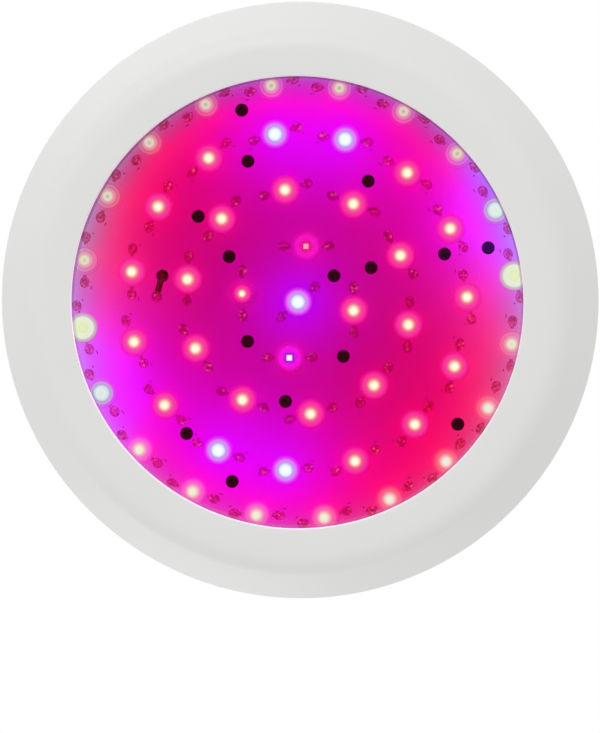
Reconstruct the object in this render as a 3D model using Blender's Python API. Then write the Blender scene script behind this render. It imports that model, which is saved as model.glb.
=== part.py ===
"""A round LED grow light with fifty LEDs behind a clear window, in metres with +Z up.

The lamp is modelled as it hangs: the window faces down, the flat front lip of the bezel lies on Z = 0,
and the eye bolts stand on its back. The Z axis is the lamp's own axis and the axis of its fan.
"""

import math

import bmesh
import bpy
from mathutils import Matrix, Vector

# Whole lamp
LAMP_RADIUS = 0.1325
ROUND_STEPS = 48
HIDDEN_STEPS = 32
FIT_GAP = 0.0003

# Front bezel
LIP_WIDTH = 0.0115
LIP_EDGE_ROUND = 0.0008
BEZEL_WALL = 0.0025
FRONT_SLOPE = math.radians(54)
FRONT_ROUND = 0.012
RIM_ROUND = 0.003
RIM_BAND = 0.0035
COLLAR_WALL = 0.0024

# Stack behind the lip
SEAL_THICKNESS = 0.0005
SEAL_WIDTH = 0.0045
WINDOW_THICKNESS = 0.0025
BOARD_DEPTH = 0.012
BOARD_THICKNESS = 0.0016
SPACER_WIDTH = 0.0022
SHELF_WIDTH = 0.0064
DISC_PLAY = 0.0005

# LEDs: for each ring how many, and the angle of its first LED as seen from below
LED_RINGS = ((4, -8.5), (10, 24.5), (15, 1.8), (20, 7.0))
LED_EDGE_INSET = 0.0035
LENS_RADIUS = 0.00675
LENS_EDGE = 0.0013
LENS_FACE_DROP = 0.0004
DOME_RADIUS = 0.0029
DOME_HEIGHT = 0.0026
DOME_TOP_SHARE = 0.6
LED_SIDES = 8

# What sits beside an LED on the board: that LED's ring, its number there, and how far outward and how
# far round from it the screw, hole or solder lies
BOARD_SCREWS = (
    (1, 1, -0.0111, -0.0140), (1, 3, -0.0042, -0.0195), (2, 8, -0.0185, -0.0015),
    (2, 0, -0.0141, 0.0004), (1, 2, 0.0082, -0.0152), (2, 7, -0.0066, -0.0105),
    (2, 3, 0.0078, 0.0071), (2, 1, 0.0119, -0.0007), (3, 4, -0.0102, 0.0135),
    (3, 1, -0.0072, -0.0090), (3, 9, 0.0002, 0.0159), (3, 10, 0.0093, 0.0119),
    (4, 0, -0.0099, 0.0136), (4, 6, -0.0089, -0.0132), (4, 18, -0.0082, -0.0129),
)
WIRE_HOLE = (2, 4, 0.0114, 0.0009)
SOLDER_BLOB = (2, 4, 0.0120, 0.0103)
WIRE_HOLE_RADIUS = 0.0028

# Heat sink
SINK_EDGE_GAP = 0.001
SINK_BASE = 0.004
FIN_HEIGHT = 0.018
FIN_THICKNESS = 0.0018
FIN_PITCH = 0.008
FIN_SIDE_GAP = 0.0035
FIN_END_INSET = 0.012
SINK_SCREW_INSET = 0.0045
SINK_SCREW_ANGLES = (45, 135, 225, 315)
SINK_BOSS_RADIUS = 0.004
BOSS_ROOT = 0.0008
BORE_SPARE = 0.001

# Screws
SHANK_RADIUS = 0.0015
HEAD_RADIUS = 0.0029
HEAD_HEIGHT = 0.002
SCREW_SIDES = 6
HOLE_SIDES = 6
SCREW_HOLE_RADIUS = 0.0021
BOARD_SCREW_LENGTH = 0.0048
SINK_SCREW_LENGTH = 0.010
CASE_SCREW_LENGTH = 0.009
DRIVER_SCREW_LENGTH = 0.0052
FAN_SCREW_LENGTH = 0.0085

# LED drivers
DRIVER_WIDTH = 0.030
DRIVER_LENGTH = 0.066
DRIVER_HEIGHT = 0.019
DRIVER_WIRE_GAP = 0.0055
DRIVER_EAR = 0.008
DRIVER_EAR_THICKNESS = 0.002

# Fan
FAN_SIZE = 0.080
FAN_DEPTH = 0.020
FAN_AIR_GAP = 0.0013
FAN_BORE_EDGE = 0.002
FAN_FLANGE = 0.0035
FAN_CORNER_ROUND = 0.005
FAN_DUCT_WALL = 0.0016
FAN_SCREW_INSET = 0.00425
FAN_STRUT_WIDTH = 0.004
FAN_STRUT_COUNT = 4
STATOR_RADIUS = 0.016
STATOR_HEIGHT = 0.0035
SHAFT_RADIUS = 0.002
SHAFT_PLAY = 0.0003
HUB_RADIUS = 0.017
HUB_CROWN = 0.0012
ROTOR_TOP_DROP = 0.0018
ROTOR_PLAY = 0.0005
BLADE_COUNT = 7
BLADE_TIP_PLAY = 0.0014
BLADE_THICKNESS = 0.0012
BLADE_TOP_DROP = 0.0015
BLADE_ROOT = 0.0015
BLADE_SPAN_ANGLE = 42.0
BLADE_SWEEP = 10.0
BLADE_BOW = 4.0
BLADE_TIP_EASE = 0.25

# Finger guard
GUARD_WIRE_RADIUS = 0.0008
GUARD_ARM_THICKNESS = 0.0013
GUARD_EDGE_INSET = 0.0025
GUARD_RING_PITCH = 0.008
GUARD_RING_COUNT = 4
GUARD_LOOP_RADIUS = 0.0042
GUARD_LOOP_THICKNESS = 0.0016

# Rear housing
REAR_WALL = 0.0025
REAR_SLOPE = math.radians(40)
REAR_RIM_ROUND = 0.004
REAR_BAND = 0.0015
REAR_SHOULDER_ROUND = 0.010
TONGUE_THICKNESS = 0.0025
TONGUE_LENGTH = 0.0035
VENT_GROUPS = 6
VENTS_PER_GROUP = 5
VENT_PITCH_ANGLE = 8.0
VENT_EDGE_INSET = 0.011
VENT_LENGTH = 0.019
VENT_WIDTH = 0.0038
CASE_SCREW_COUNT = 6
CASE_SCREW_INSET = 0.0105
CASE_BOSS_RADIUS = 0.0045
CASE_BOSS_DROP = 0.0031
WELL_RADIUS = 0.0036
WELL_FLOOR = 0.0025

# Mains inlet
INLET_EDGE_INSET = 0.006
INLET_FLANGE_WIDTH = 0.031
INLET_FLANGE_HEIGHT = 0.024
INLET_FLANGE_THICKNESS = 0.0025
INLET_FLANGE_ROUND = 0.002
INLET_BODY_WIDTH = 0.027
INLET_BODY_HEIGHT = 0.0198
INLET_BODY_DEPTH = 0.018
INLET_CORNER = 0.004
SOCKET_WIDTH = 0.0232
SOCKET_HEIGHT = 0.0162
SOCKET_DEPTH = 0.0165
SOCKET_CORNER = 0.0045
PIN_THICKNESS = 0.002
PIN_EDGE = 0.0004
PIN_WIDTH = 0.004
PIN_TIP_DROP = 0.0055
PIN_TAIL = 0.005
PIN_PLACES = {"live": (-0.007, -0.0015), "neutral": (0.007, -0.0015), "earth": (0.0, 0.0025)}

# Eye bolts
EYE_COUNT = 3
EYE_EDGE_INSET = 0.0123
EYE_FIRST_ANGLE = 90
EYE_LOOP_RADIUS = 0.0075
EYE_WIRE_RADIUS = 0.0019
EYE_FLANGE_RADIUS = 0.005
EYE_FLANGE_HEIGHT = 0.0018
EYE_SHANK_RADIUS = 0.002
EYE_SHANK_LENGTH = 0.009
EYE_HOLE_PLAY = 0.0004
NUT_FLATS = 0.007
NUT_HEIGHT = 0.0032

# LED wire
WIRE_RADIUS = 0.0014
BLOB_RADIUS = 0.0026
BLOB_HEIGHT = 0.0026
WIRE_BEND = 0.004
WIRE_DRIVER_Y = 0.012

# Derived heights, from the lip upwards
window_bottom = BEZEL_WALL + FIT_GAP + SEAL_THICKNESS + FIT_GAP
window_top = window_bottom + WINDOW_THICKNESS
board_top = BOARD_DEPTH + BOARD_THICKNESS
sink_bottom = board_top + FIT_GAP
sink_top = sink_bottom + SINK_BASE
fin_top = sink_top + FIN_HEIGHT
fan_bottom = fin_top + FAN_AIR_GAP
fan_top = fan_bottom + FAN_DEPTH
back_inside = fan_top + FIT_GAP
lamp_depth = back_inside + REAR_WALL

# Derived radii and places, from the rim inwards
case_circle = LAMP_RADIUS - CASE_SCREW_INSET
sink_radius = case_circle - CASE_BOSS_RADIUS - SINK_EDGE_GAP
sink_circle = sink_radius - SINK_SCREW_INSET
collar_outer = sink_circle - SINK_BOSS_RADIUS + BOSS_ROOT
collar_inner = collar_outer - COLLAR_WALL
disc_radius = collar_inner - DISC_PLAY
window_opening = disc_radius - SHELF_WIDTH
driver_reach = DRIVER_LENGTH / 2 + DRIVER_EAR
fan_bore = FAN_SIZE / 2 - FAN_BORE_EDGE
fan_screw_half = FAN_SIZE / 2 - FAN_SCREW_INSET

MERGE = 1e-6
CUT_PAST = 0.002

for old in list(bpy.data.objects):
    bpy.data.objects.remove(old)


def material(name, colour, roughness, metallic=0.0):
    """A Principled material of one colour."""
    made = bpy.data.materials.new(name)
    made.use_nodes = True
    shader = made.node_tree.nodes["Principled BSDF"]
    shader.inputs["Base Color"].default_value = (*colour, 1.0)
    shader.inputs["Roughness"].default_value = roughness
    shader.inputs["Metallic"].default_value = metallic
    made.diffuse_color = (*colour, 1.0)
    return made


WHITE_PLASTIC = material("white_plastic", (0.80, 0.80, 0.79), 0.4)
CLEAR_ACRYLIC = material("clear_acrylic", (0.85, 0.86, 0.90), 0.05)
SILICONE = material("silicone", (0.75, 0.75, 0.75), 0.6)
LIT_BOARD = material("lit_board", (0.80, 0.02, 0.45), 0.4)
ALUMINIUM = material("aluminium", (0.60, 0.61, 0.63), 0.35, 1.0)
BLACK_STEEL = material("black_steel", (0.02, 0.02, 0.02), 0.4, 0.6)
BRIGHT_STEEL = material("bright_steel", (0.65, 0.65, 0.66), 0.25, 1.0)
BLACK_PLASTIC = material("black_plastic", (0.02, 0.02, 0.02), 0.45)
RED_INSULATION = material("red_insulation", (0.30, 0.01, 0.02), 0.5)


def from_below(radius, angle):
    """The place on the board at this radius and angle in degrees, as someone under the lamp sees it."""
    turned = math.radians(-angle)
    return Vector((radius * math.cos(turned), radius * math.sin(turned), 0))


def around(radius, angle):
    """The place at this radius and angle in degrees, seen from above."""
    return from_below(radius, -angle)


def led_ring(ring):
    """The LEDs of one ring: the rings are evenly spaced, but the last lies close to the window's edge."""
    count, first = LED_RINGS[ring - 1]
    evenly = window_opening * ring / len(LED_RINGS)
    radius = window_opening - LED_EDGE_INSET if ring == len(LED_RINGS) else evenly
    return [from_below(radius, first + 360 / count * step) for step in range(count)]


def led_places():
    """The middle LED, then each ring in turn."""
    places = [Vector((0, 0, 0))]
    for ring in range(1, len(LED_RINGS) + 1):
        places += led_ring(ring)
    return places


def beside_led(ring, number, outward, onward):
    """The place this far outward from an LED, and this far onward round the lamp."""
    led = led_ring(ring)[number]
    ray = led.normalized()
    return led + ray * outward + Vector((ray.y, -ray.x, 0)) * onward


def board_screw_places():
    return [beside_led(*screw) for screw in BOARD_SCREWS]


def case_screw_places():
    return [around(case_circle, 360 / CASE_SCREW_COUNT * step) for step in range(CASE_SCREW_COUNT)]


def sink_screw_places():
    return [around(sink_circle, angle) for angle in SINK_SCREW_ANGLES]


def driver_screw_places():
    reach = driver_reach - DRIVER_EAR / 2
    return [Vector((x, y, 0)) for x in (driver_x, -driver_x) for y in (reach, -reach)]


def fan_screw_places():
    half = fan_screw_half
    return [Vector((x * half, y * half, 0)) for x, y in ((1, 1), (-1, 1), (-1, -1), (1, -1))]


def eye_places():
    step = 360 / EYE_COUNT
    return [around(eye_circle, EYE_FIRST_ANGLE + step * number) for number in range(EYE_COUNT)]


hole_place = beside_led(*WIRE_HOLE)
blob_place = beside_led(*SOLDER_BLOB)
driver_inside = -hole_place.x + DRIVER_WIRE_GAP
driver_x = driver_inside + DRIVER_WIDTH / 2


def arc(centre, radius, start, end, steps):
    """Points (radius, height) on an arc, with its angles in radians from the outward direction."""
    angles = [start + (end - start) * step / steps for step in range(steps + 1)]
    return [(centre[0] + radius * math.cos(a), centre[1] + radius * math.sin(a)) for a in angles]


def offset(line, distance):
    """A line parallel to this one, on its left, with its corners mitred."""
    points = [Vector(point) for point in line]
    runs = [(b - a).normalized() for a, b in zip(points, points[1:])]
    normals = [Vector((-run.y, run.x)) for run in runs]
    moved = []
    for place, before, after in zip(points, normals[:1] + normals, normals + normals[-1:]):
        middle = (before + after).normalized()
        moved.append(tuple(place + middle * distance / middle.dot(after)))
    return moved


def link(name, mesh, finish, smooth_angle=35):
    """An object of this mesh, shaded smooth except across its edges."""
    mesh.name = name
    if finish:
        mesh.materials.append(finish)
    mesh.shade_smooth()
    mesh.set_sharp_from_angle(angle=math.radians(smooth_angle))
    obj = bpy.data.objects.new(name, mesh)
    bpy.context.scene.collection.objects.link(obj)
    return obj


def to_mesh(bm):
    """The mesh of this bmesh, with its faces pointing out."""
    bmesh.ops.remove_doubles(bm, verts=bm.verts, dist=MERGE)
    bmesh.ops.recalc_face_normals(bm, faces=bm.faces)
    mesh = bpy.data.meshes.new("shape")
    bm.to_mesh(mesh)
    bm.free()
    return mesh


def turned(profile, steps=ROUND_STEPS):
    """A (radius, height) outline turned round Z: a ring, or a solid where it ends on the axis."""
    bm = bmesh.new()
    points = [bm.verts.new((radius, 0, height)) for radius, height in profile]
    solid = profile[0][0] == 0 and profile[-1][0] == 0
    ends = points[1:] if solid else points[1:] + points[:1]
    edges = [bm.edges.new(pair) for pair in zip(points, ends)]
    bmesh.ops.spin(bm, geom=points + edges, cent=(0, 0, 0), axis=(0, 0, 1), angle=math.tau, steps=steps)
    return to_mesh(bm)


def round_bar(radius, bottom, top, steps=16):
    """A plain cylinder on the Z axis."""
    return turned([(0, bottom), (radius, bottom), (radius, top), (0, top)], steps)


def prism(outline, bottom, top):
    """A flat (x, y) outline pulled up along Z."""
    bm = bmesh.new()
    face = bm.faces.new([bm.verts.new((x, y, bottom)) for x, y in outline])
    pulled = bmesh.ops.extrude_face_region(bm, geom=[face])["geom"]
    lifted = [item for item in pulled if isinstance(item, bmesh.types.BMVert)]
    bmesh.ops.translate(bm, verts=lifted, vec=(0, 0, top - bottom))
    return to_mesh(bm)


def box(size_x, size_y, bottom, top):
    """A box centred on the Z axis."""
    x, y = size_x / 2, size_y / 2
    return prism([(-x, -y), (x, -y), (x, y), (-x, y)], bottom, top)


def rounded(size_x, size_y, radius, steps=4):
    """The (x, y) outline of a rectangle with round corners."""
    corners = []
    for index, (side_x, side_y) in enumerate(((1, 1), (-1, 1), (-1, -1), (1, -1))):
        centre = (side_x * (size_x / 2 - radius), side_y * (size_y / 2 - radius))
        start = index * math.pi / 2
        corners += arc(centre, radius, start, start + math.pi / 2, steps)
    return corners


def slot(length, width, steps=2):
    """The outline of a slot with round ends that runs along X from 0."""
    half = width / 2
    outer = arc((length - half, 0), half, -math.pi / 2, math.pi / 2, steps)
    inner = arc((half, 0), half, math.pi / 2, math.pi * 1.5, steps)
    return outer + inner


def ring_wire(radius, wire_radius, steps, sides):
    """A wire bent into a ring round the Z axis."""
    first = math.pi / sides
    return turned(arc((radius, 0), wire_radius, first, first + math.tau, sides)[:-1], steps)


def copies(mesh, places):
    """One mesh that holds a copy of this one at each place."""
    bm = bmesh.new()
    for place in places:
        bm.from_mesh(mesh)
        bm.verts.ensure_lookup_table()
        bmesh.ops.transform(bm, matrix=place, verts=bm.verts[-len(mesh.vertices):])
    return to_mesh(bm)


def at(points, height=0.0):
    """Matrices that move a shape to each of these points."""
    return [Matrix.Translation((point[0], point[1], height)) for point in points]


def spun(angles):
    """Matrices that turn a shape about the lamp's axis by each of these angles in degrees."""
    return [Matrix.Rotation(math.radians(angle), 4, "Z") for angle in angles]


def helper(name, mesh):
    """A shape that only cuts or joins others, so it is left out of renders."""
    obj = link(name, mesh, None)
    obj.hide_render = True
    obj.display_type = "WIRE"
    return obj


def combine(obj, other, operation):
    """An exact Boolean of this object with a helper."""
    modifier = obj.modifiers.new(other.name, "BOOLEAN")
    modifier.operation = operation
    modifier.solver = "EXACT"
    modifier.object = other
    return obj


def cut(obj, name, mesh):
    return combine(obj, helper(name, mesh), "DIFFERENCE")


def join(obj, name, mesh):
    return combine(obj, helper(name, mesh), "UNION")


def bevel(obj, width, segments=1):
    """Breaks the sharp edges."""
    modifier = obj.modifiers.new("edges", "BEVEL")
    modifier.width = width
    modifier.segments = segments
    modifier.limit_method = "ANGLE"
    modifier.angle_limit = math.radians(50)
    return obj


def front_line(round_steps):
    """The outer line of the bezel, from its collar over the flat lip and the slope to the rim."""
    flat_end = window_opening + LIP_WIDTH
    down = -math.pi / 2
    lip_round = arc((flat_end, FRONT_ROUND), FRONT_ROUND, down, down + FRONT_SLOPE, round_steps)
    slope_start = lip_round[-1]
    rim_x = LAMP_RADIUS - RIM_ROUND
    slope_end_x = rim_x + RIM_ROUND * math.sin(FRONT_SLOPE)
    slope_end_z = slope_start[1] + (slope_end_x - slope_start[0]) * math.tan(FRONT_SLOPE)
    rim_z = slope_end_z + RIM_ROUND * math.cos(FRONT_SLOPE)
    rim = arc((rim_x, rim_z), RIM_ROUND, down + FRONT_SLOPE, 0, 1)
    return lip_round + rim + [(LAMP_RADIUS, rim_z + RIM_BAND)]


front_outer = front_line(4)
parting = front_outer[-1][1]
case_boss_top = parting - CASE_BOSS_DROP
well_bottom = case_boss_top + FIT_GAP
well_floor = well_bottom + WELL_FLOOR


def rear_line(round_steps):
    """The outer line of the rear housing, from its rim up the shoulder to the flat back."""
    band_top = parting + FIT_GAP + REAR_BAND
    rim_centre = (LAMP_RADIUS - REAR_RIM_ROUND, band_top)
    leaning = math.pi / 2 - REAR_SLOPE
    rim = arc(rim_centre, REAR_RIM_ROUND, 0, leaning, 1)
    shoulder_z = lamp_depth - REAR_SHOULDER_ROUND
    shoulder_start_z = shoulder_z + REAR_SHOULDER_ROUND * math.sin(leaning)
    slope_run = (shoulder_start_z - rim[-1][1]) / math.tan(REAR_SLOPE)
    shoulder_x = rim[-1][0] - slope_run - REAR_SHOULDER_ROUND * math.cos(leaning)
    shoulder = arc((shoulder_x, shoulder_z), REAR_SHOULDER_ROUND, leaning, math.pi / 2, round_steps)
    return [(LAMP_RADIUS, parting + FIT_GAP)] + rim + shoulder


rear_outer = rear_line(3)
back_edge = rear_outer[-1][0]
eye_circle = back_edge - EYE_EDGE_INSET
inlet_y = INLET_EDGE_INSET + INLET_FLANGE_HEIGHT / 2 - back_edge


def front_bezel():
    """The white ring: lip, slope and rim outside, a collar and ten screw bosses inside."""
    outer = [(collar_outer, 0)] + front_outer
    lip_edge = [(window_opening, LIP_EDGE_ROUND), (window_opening + LIP_EDGE_ROUND, 0)]
    inner = offset([(collar_outer, 0)] + front_line(1), BEZEL_WALL)
    collar_top = board_top - FIT_GAP
    collar = [(collar_outer, collar_top), (collar_inner, collar_top), (collar_inner, BEZEL_WALL)]
    shelf = [(window_opening, BEZEL_WALL)]
    bezel = link("front_bezel", turned(lip_edge + front_outer + inner[::-1] + collar + shelf), WHITE_PLASTIC)

    middle = offset(outer, BEZEL_WALL / 2)
    above = [(0, middle[0][1])] + middle + [(middle[-1][0], lamp_depth), (0, lamp_depth)]
    space = helper("bezel_space", turned(above))
    sink_tip = sink_top + FIT_GAP - SINK_SCREW_LENGTH
    case_tip = well_floor + FIT_GAP - CASE_SCREW_LENGTH
    bosses = (
        ("sink_bosses", SINK_BOSS_RADIUS, sink_screw_places(), board_top, sink_tip),
        ("case_bosses", CASE_BOSS_RADIUS, case_screw_places(), case_boss_top, case_tip),
    )
    for name, radius, places, top, tip in bosses:
        posts = helper(name, copies(round_bar(radius, 0, top, 8), at(places)))
        combine(posts, space, "INTERSECT")
        combine(bezel, posts, "UNION")
        bore = round_bar(SCREW_HOLE_RADIUS, tip - BORE_SPARE, top + CUT_PAST, HOLE_SIDES)
        cut(bezel, name + "_bores", copies(bore, at(places)))
    return bezel


def window_stack():
    """The seal on the shelf, the window on the seal, and the spacer that carries the board."""
    seal = (BEZEL_WALL + FIT_GAP, window_bottom - FIT_GAP, disc_radius - SEAL_WIDTH)
    spacer = (window_top + FIT_GAP, BOARD_DEPTH - FIT_GAP, disc_radius - SPACER_WIDTH)
    for name, (bottom, top, inner), finish in (
        ("window_seal", seal, SILICONE),
        ("board_spacer", spacer, WHITE_PLASTIC),
    ):
        outline = [(inner, bottom), (disc_radius, bottom), (disc_radius, top), (inner, top)]
        link(name, turned(outline, HIDDEN_STEPS), finish)
    link("window", round_bar(disc_radius, window_bottom, window_top, ROUND_STEPS), CLEAR_ACRYLIC)


def led_board():
    """The board with its fifty LEDs and solder blob, which hang below it."""
    board = link("led_board", round_bar(disc_radius, BOARD_DEPTH, board_top, ROUND_STEPS), LIT_BOARD)
    face = BOARD_DEPTH - LENS_EDGE
    dome_base = face - LENS_FACE_DROP
    led = turned(
        [
            (0, BOARD_DEPTH + BOARD_THICKNESS / 2),
            (LENS_RADIUS, BOARD_DEPTH + BOARD_THICKNESS / 2),
            (LENS_RADIUS, face),
            (DOME_RADIUS, dome_base),
            (DOME_RADIUS * DOME_TOP_SHARE, dome_base - DOME_HEIGHT),
            (0, dome_base - DOME_HEIGHT),
        ],
        LED_SIDES,
    )
    join(board, "leds", copies(led, at(led_places())))
    blob = turned(
        [
            (0, BOARD_DEPTH + BOARD_THICKNESS / 2),
            (BLOB_RADIUS, BOARD_DEPTH + BOARD_THICKNESS / 2),
            (BLOB_RADIUS, BOARD_DEPTH - BLOB_HEIGHT / 2),
            (BLOB_RADIUS / 2, BOARD_DEPTH - BLOB_HEIGHT),
            (0, BOARD_DEPTH - BLOB_HEIGHT),
        ],
        LED_SIDES,
    )
    join(board, "solder_blob", copies(blob, at([blob_place])))
    low, high = BOARD_DEPTH - CUT_PAST, board_top + CUT_PAST
    screw_hole = round_bar(SCREW_HOLE_RADIUS, low, high, HOLE_SIDES)
    cut(board, "board_screw_holes", copies(screw_hole, at(board_screw_places())))
    wire_hole = copies(round_bar(WIRE_HOLE_RADIUS, low, high, 12), at([hole_place]))
    cut(board, "board_wire_hole", wire_hole)


def heat_sink():
    """An extruded plate with fins across its middle, turned at its edge and its fins' ends, and drilled."""
    half = sink_radius + CUT_PAST
    outline = [(-half, sink_bottom), (half, sink_bottom), (half, sink_top)]
    room = -hole_place.x - WIRE_HOLE_RADIUS - FIN_SIDE_GAP
    side_fins = int(room / FIN_PITCH)
    for index in range(side_fins, -side_fins - 1, -1):
        x = FIN_PITCH * index
        right, left = x + FIN_THICKNESS / 2, x - FIN_THICKNESS / 2
        outline += [(right, sink_top), (right, fin_top), (left, fin_top), (left, sink_top)]
    outline.append((-half, sink_top))
    extruded = prism(outline, -half, half)
    extruded.transform(Matrix.Rotation(math.pi / 2, 4, "X"))
    sink = link("heat_sink", extruded, ALUMINIUM)
    fin_end = sink_radius - FIN_END_INSET
    turning = [(0, sink_bottom - CUT_PAST), (sink_radius, sink_bottom - CUT_PAST), (sink_radius, sink_top)]
    turning += [(fin_end, sink_top), (fin_end, fin_top + CUT_PAST), (0, fin_top + CUT_PAST)]
    combine(sink, helper("sink_turning", turned(turning)), "INTERSECT")

    blind = round_bar(SCREW_HOLE_RADIUS, sink_bottom - CUT_PAST, sink_top - FIT_GAP, HOLE_SIDES)
    cut(sink, "sink_board_bores", copies(blind, at(board_screw_places())))
    through = round_bar(SCREW_HOLE_RADIUS, sink_bottom - CUT_PAST, sink_top + CUT_PAST, HOLE_SIDES)
    cut(sink, "sink_through_holes", copies(through, at(sink_screw_places() + driver_screw_places())))
    wire_hole = round_bar(WIRE_HOLE_RADIUS, sink_bottom - CUT_PAST, sink_top + CUT_PAST, 12)
    cut(sink, "sink_wire_hole", copies(wire_hole, at([hole_place])))


def drivers():
    """Two potted LED drivers with a mounting ear at each end, flat on the heat sink's plate."""
    bottom = sink_top + FIT_GAP
    top = bottom + DRIVER_HEIGHT
    ear = bottom + DRIVER_EAR_THICKNESS
    body, reach = DRIVER_LENGTH / 2, driver_reach
    outline = [(-reach, bottom), (reach, bottom), (reach, ear), (body, ear), (body, top)]
    outline += [(-body, top), (-body, ear), (-reach, ear)]
    for number, x in enumerate((driver_x, -driver_x), 1):
        pulled = prism(outline, -DRIVER_WIDTH / 2, DRIVER_WIDTH / 2)
        pulled.transform(Matrix.Rotation(math.pi / 2, 4, "Z") @ Matrix.Rotation(math.pi / 2, 4, "X"))
        driver = link(f"led_driver_{number}", pulled, BLACK_PLASTIC)
        driver.location.x = x
        holes = [Vector((0, side * (body + DRIVER_EAR / 2), 0)) for side in (1, -1)]
        hole = round_bar(SCREW_HOLE_RADIUS, bottom - CUT_PAST, ear + CUT_PAST, HOLE_SIDES)
        cutter = helper(f"driver_holes_{number}", copies(hole, at(holes)))
        cutter.location.x = x
        combine(driver, cutter, "DIFFERENCE")


def screw_mesh(length):
    """A pan-head screw that points down, with its head on Z = 0."""
    return turned(
        [
            (0, HEAD_HEIGHT),
            (HEAD_RADIUS, HEAD_HEIGHT),
            (HEAD_RADIUS, 0),
            (SHANK_RADIUS, 0),
            (SHANK_RADIUS, -length),
            (0, -length),
        ],
        SCREW_SIDES,
    )


def screws():
    """Every screw of the lamp, each with its head a fit gap off its seat."""
    board_seat, sink_seat = BOARD_DEPTH - FIT_GAP, sink_top + FIT_GAP
    driver_seat = sink_top + FIT_GAP + DRIVER_EAR_THICKNESS + FIT_GAP
    guard_top = lamp_depth + FIT_GAP + GUARD_LOOP_THICKNESS
    sets = (
        ("board_screw", BOARD_SCREW_LENGTH, board_screw_places(), board_seat, BLACK_STEEL, -1),
        ("sink_screw", SINK_SCREW_LENGTH, sink_screw_places(), sink_seat, BRIGHT_STEEL, 1),
        ("driver_screw", DRIVER_SCREW_LENGTH, driver_screw_places(), driver_seat, BRIGHT_STEEL, 1),
        ("case_screw", CASE_SCREW_LENGTH, case_screw_places(), well_floor + FIT_GAP, BRIGHT_STEEL, 1),
        ("fan_screw", FAN_SCREW_LENGTH, fan_screw_places(), guard_top + FIT_GAP, BLACK_STEEL, 1),
    )
    for name, length, places, seat, finish, pointing in sets:
        mesh = screw_mesh(length)
        if pointing < 0:
            mesh.transform(Matrix.Rotation(math.pi, 4, "X"))
        for number, place in enumerate(places, 1):
            obj = link(f"{name}_{number}", mesh.copy(), finish)
            obj.location = (place.x, place.y, seat)


def fan_frame():
    """A square fan frame: two flanges, the duct between them, and a stator on four struts."""
    outline = rounded(FAN_SIZE, FAN_SIZE, FAN_CORNER_ROUND)
    frame = link("fan_frame", prism(outline, fan_bottom, fan_top), BLACK_PLASTIC)
    waist = turned(
        [
            (fan_bore + FAN_DUCT_WALL, fan_bottom + FAN_FLANGE),
            (FAN_SIZE, fan_bottom + FAN_FLANGE),
            (FAN_SIZE, fan_top - FAN_FLANGE),
            (fan_bore + FAN_DUCT_WALL, fan_top - FAN_FLANGE),
        ],
        HIDDEN_STEPS,
    )
    cut(frame, "fan_waist", waist)
    cut(frame, "fan_bore", round_bar(fan_bore, fan_bottom - CUT_PAST, fan_top + CUT_PAST, HIDDEN_STEPS))
    hole = round_bar(SCREW_HOLE_RADIUS, fan_bottom - CUT_PAST, fan_top + CUT_PAST, HOLE_SIDES)
    cut(frame, "fan_screw_holes", copies(hole, at(fan_screw_places())))

    stator_top = fan_bottom + STATOR_HEIGHT
    shaft_top = hub_top() - HUB_CROWN - 2 * FIT_GAP - ROTOR_PLAY
    stator = [(0, fan_bottom), (STATOR_RADIUS, fan_bottom), (STATOR_RADIUS, stator_top)]
    stator += [(SHAFT_RADIUS, stator_top), (SHAFT_RADIUS, shaft_top), (0, shaft_top)]
    reach = fan_bore + FAN_DUCT_WALL / 2
    strut = box(reach - STATOR_RADIUS / 2, FAN_STRUT_WIDTH, fan_bottom + MERGE, stator_top - FIT_GAP)
    strut.transform(Matrix.Translation(((reach + STATOR_RADIUS / 2) / 2, 0, 0)))
    angles = [360 / FAN_STRUT_COUNT * step + 22.5 for step in range(FAN_STRUT_COUNT)]
    struts = helper("fan_struts", copies(strut, spun(angles)))
    join(frame, "stator", turned(stator, 16))
    combine(frame, struts, "UNION")


def hub_top():
    return fan_top - ROTOR_TOP_DROP


def blade_mesh():
    """One blade, a twisted plate from inside the hub to just short of the duct."""
    low = fan_bottom + STATOR_HEIGHT + ROTOR_PLAY + BLADE_TOP_DROP
    high = hub_top() - BLADE_TOP_DROP
    root, tip = HUB_RADIUS - BLADE_ROOT, fan_bore - BLADE_TIP_PLAY
    rows, columns = 3, 4
    bm = bmesh.new()
    sides = []
    for shift in (-BLADE_THICKNESS / 2, BLADE_THICKNESS / 2):
        grid = []
        for row in range(rows):
            outward = row / (rows - 1)
            radius = root + (tip - root) * outward
            rise = (high - low) * (1 - BLADE_TIP_EASE * outward)
            line = []
            for column in range(columns):
                chord = column / (columns - 1)
                bow = math.sin(chord * math.pi) * BLADE_BOW
                angle = math.radians((chord - 0.5) * BLADE_SPAN_ANGLE + BLADE_SWEEP * outward + bow)
                height = (low + high) / 2 + (chord - 0.5) * rise + shift
                line.append(bm.verts.new((radius * math.cos(angle), radius * math.sin(angle), height)))
            grid.append(line)
        sides.append(grid)
    lower, upper = sides
    for grid in sides:
        for row in range(rows - 1):
            for column in range(columns - 1):
                corners = (grid[row][column], grid[row][column + 1])
                bm.faces.new(corners + (grid[row + 1][column + 1], grid[row + 1][column]))
    rim = [(row, 0) for row in range(rows)] + [(rows - 1, column) for column in range(1, columns)]
    rim += [(row, columns - 1) for row in reversed(range(rows - 1))]
    rim += [(0, column) for column in reversed(range(1, columns - 1))]
    for (row, column), (next_row, next_column) in zip(rim, rim[1:] + rim[:1]):
        corners = (lower[row][column], lower[next_row][next_column])
        bm.faces.new(corners + (upper[next_row][next_column], upper[row][column]))
    return to_mesh(bm)


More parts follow.
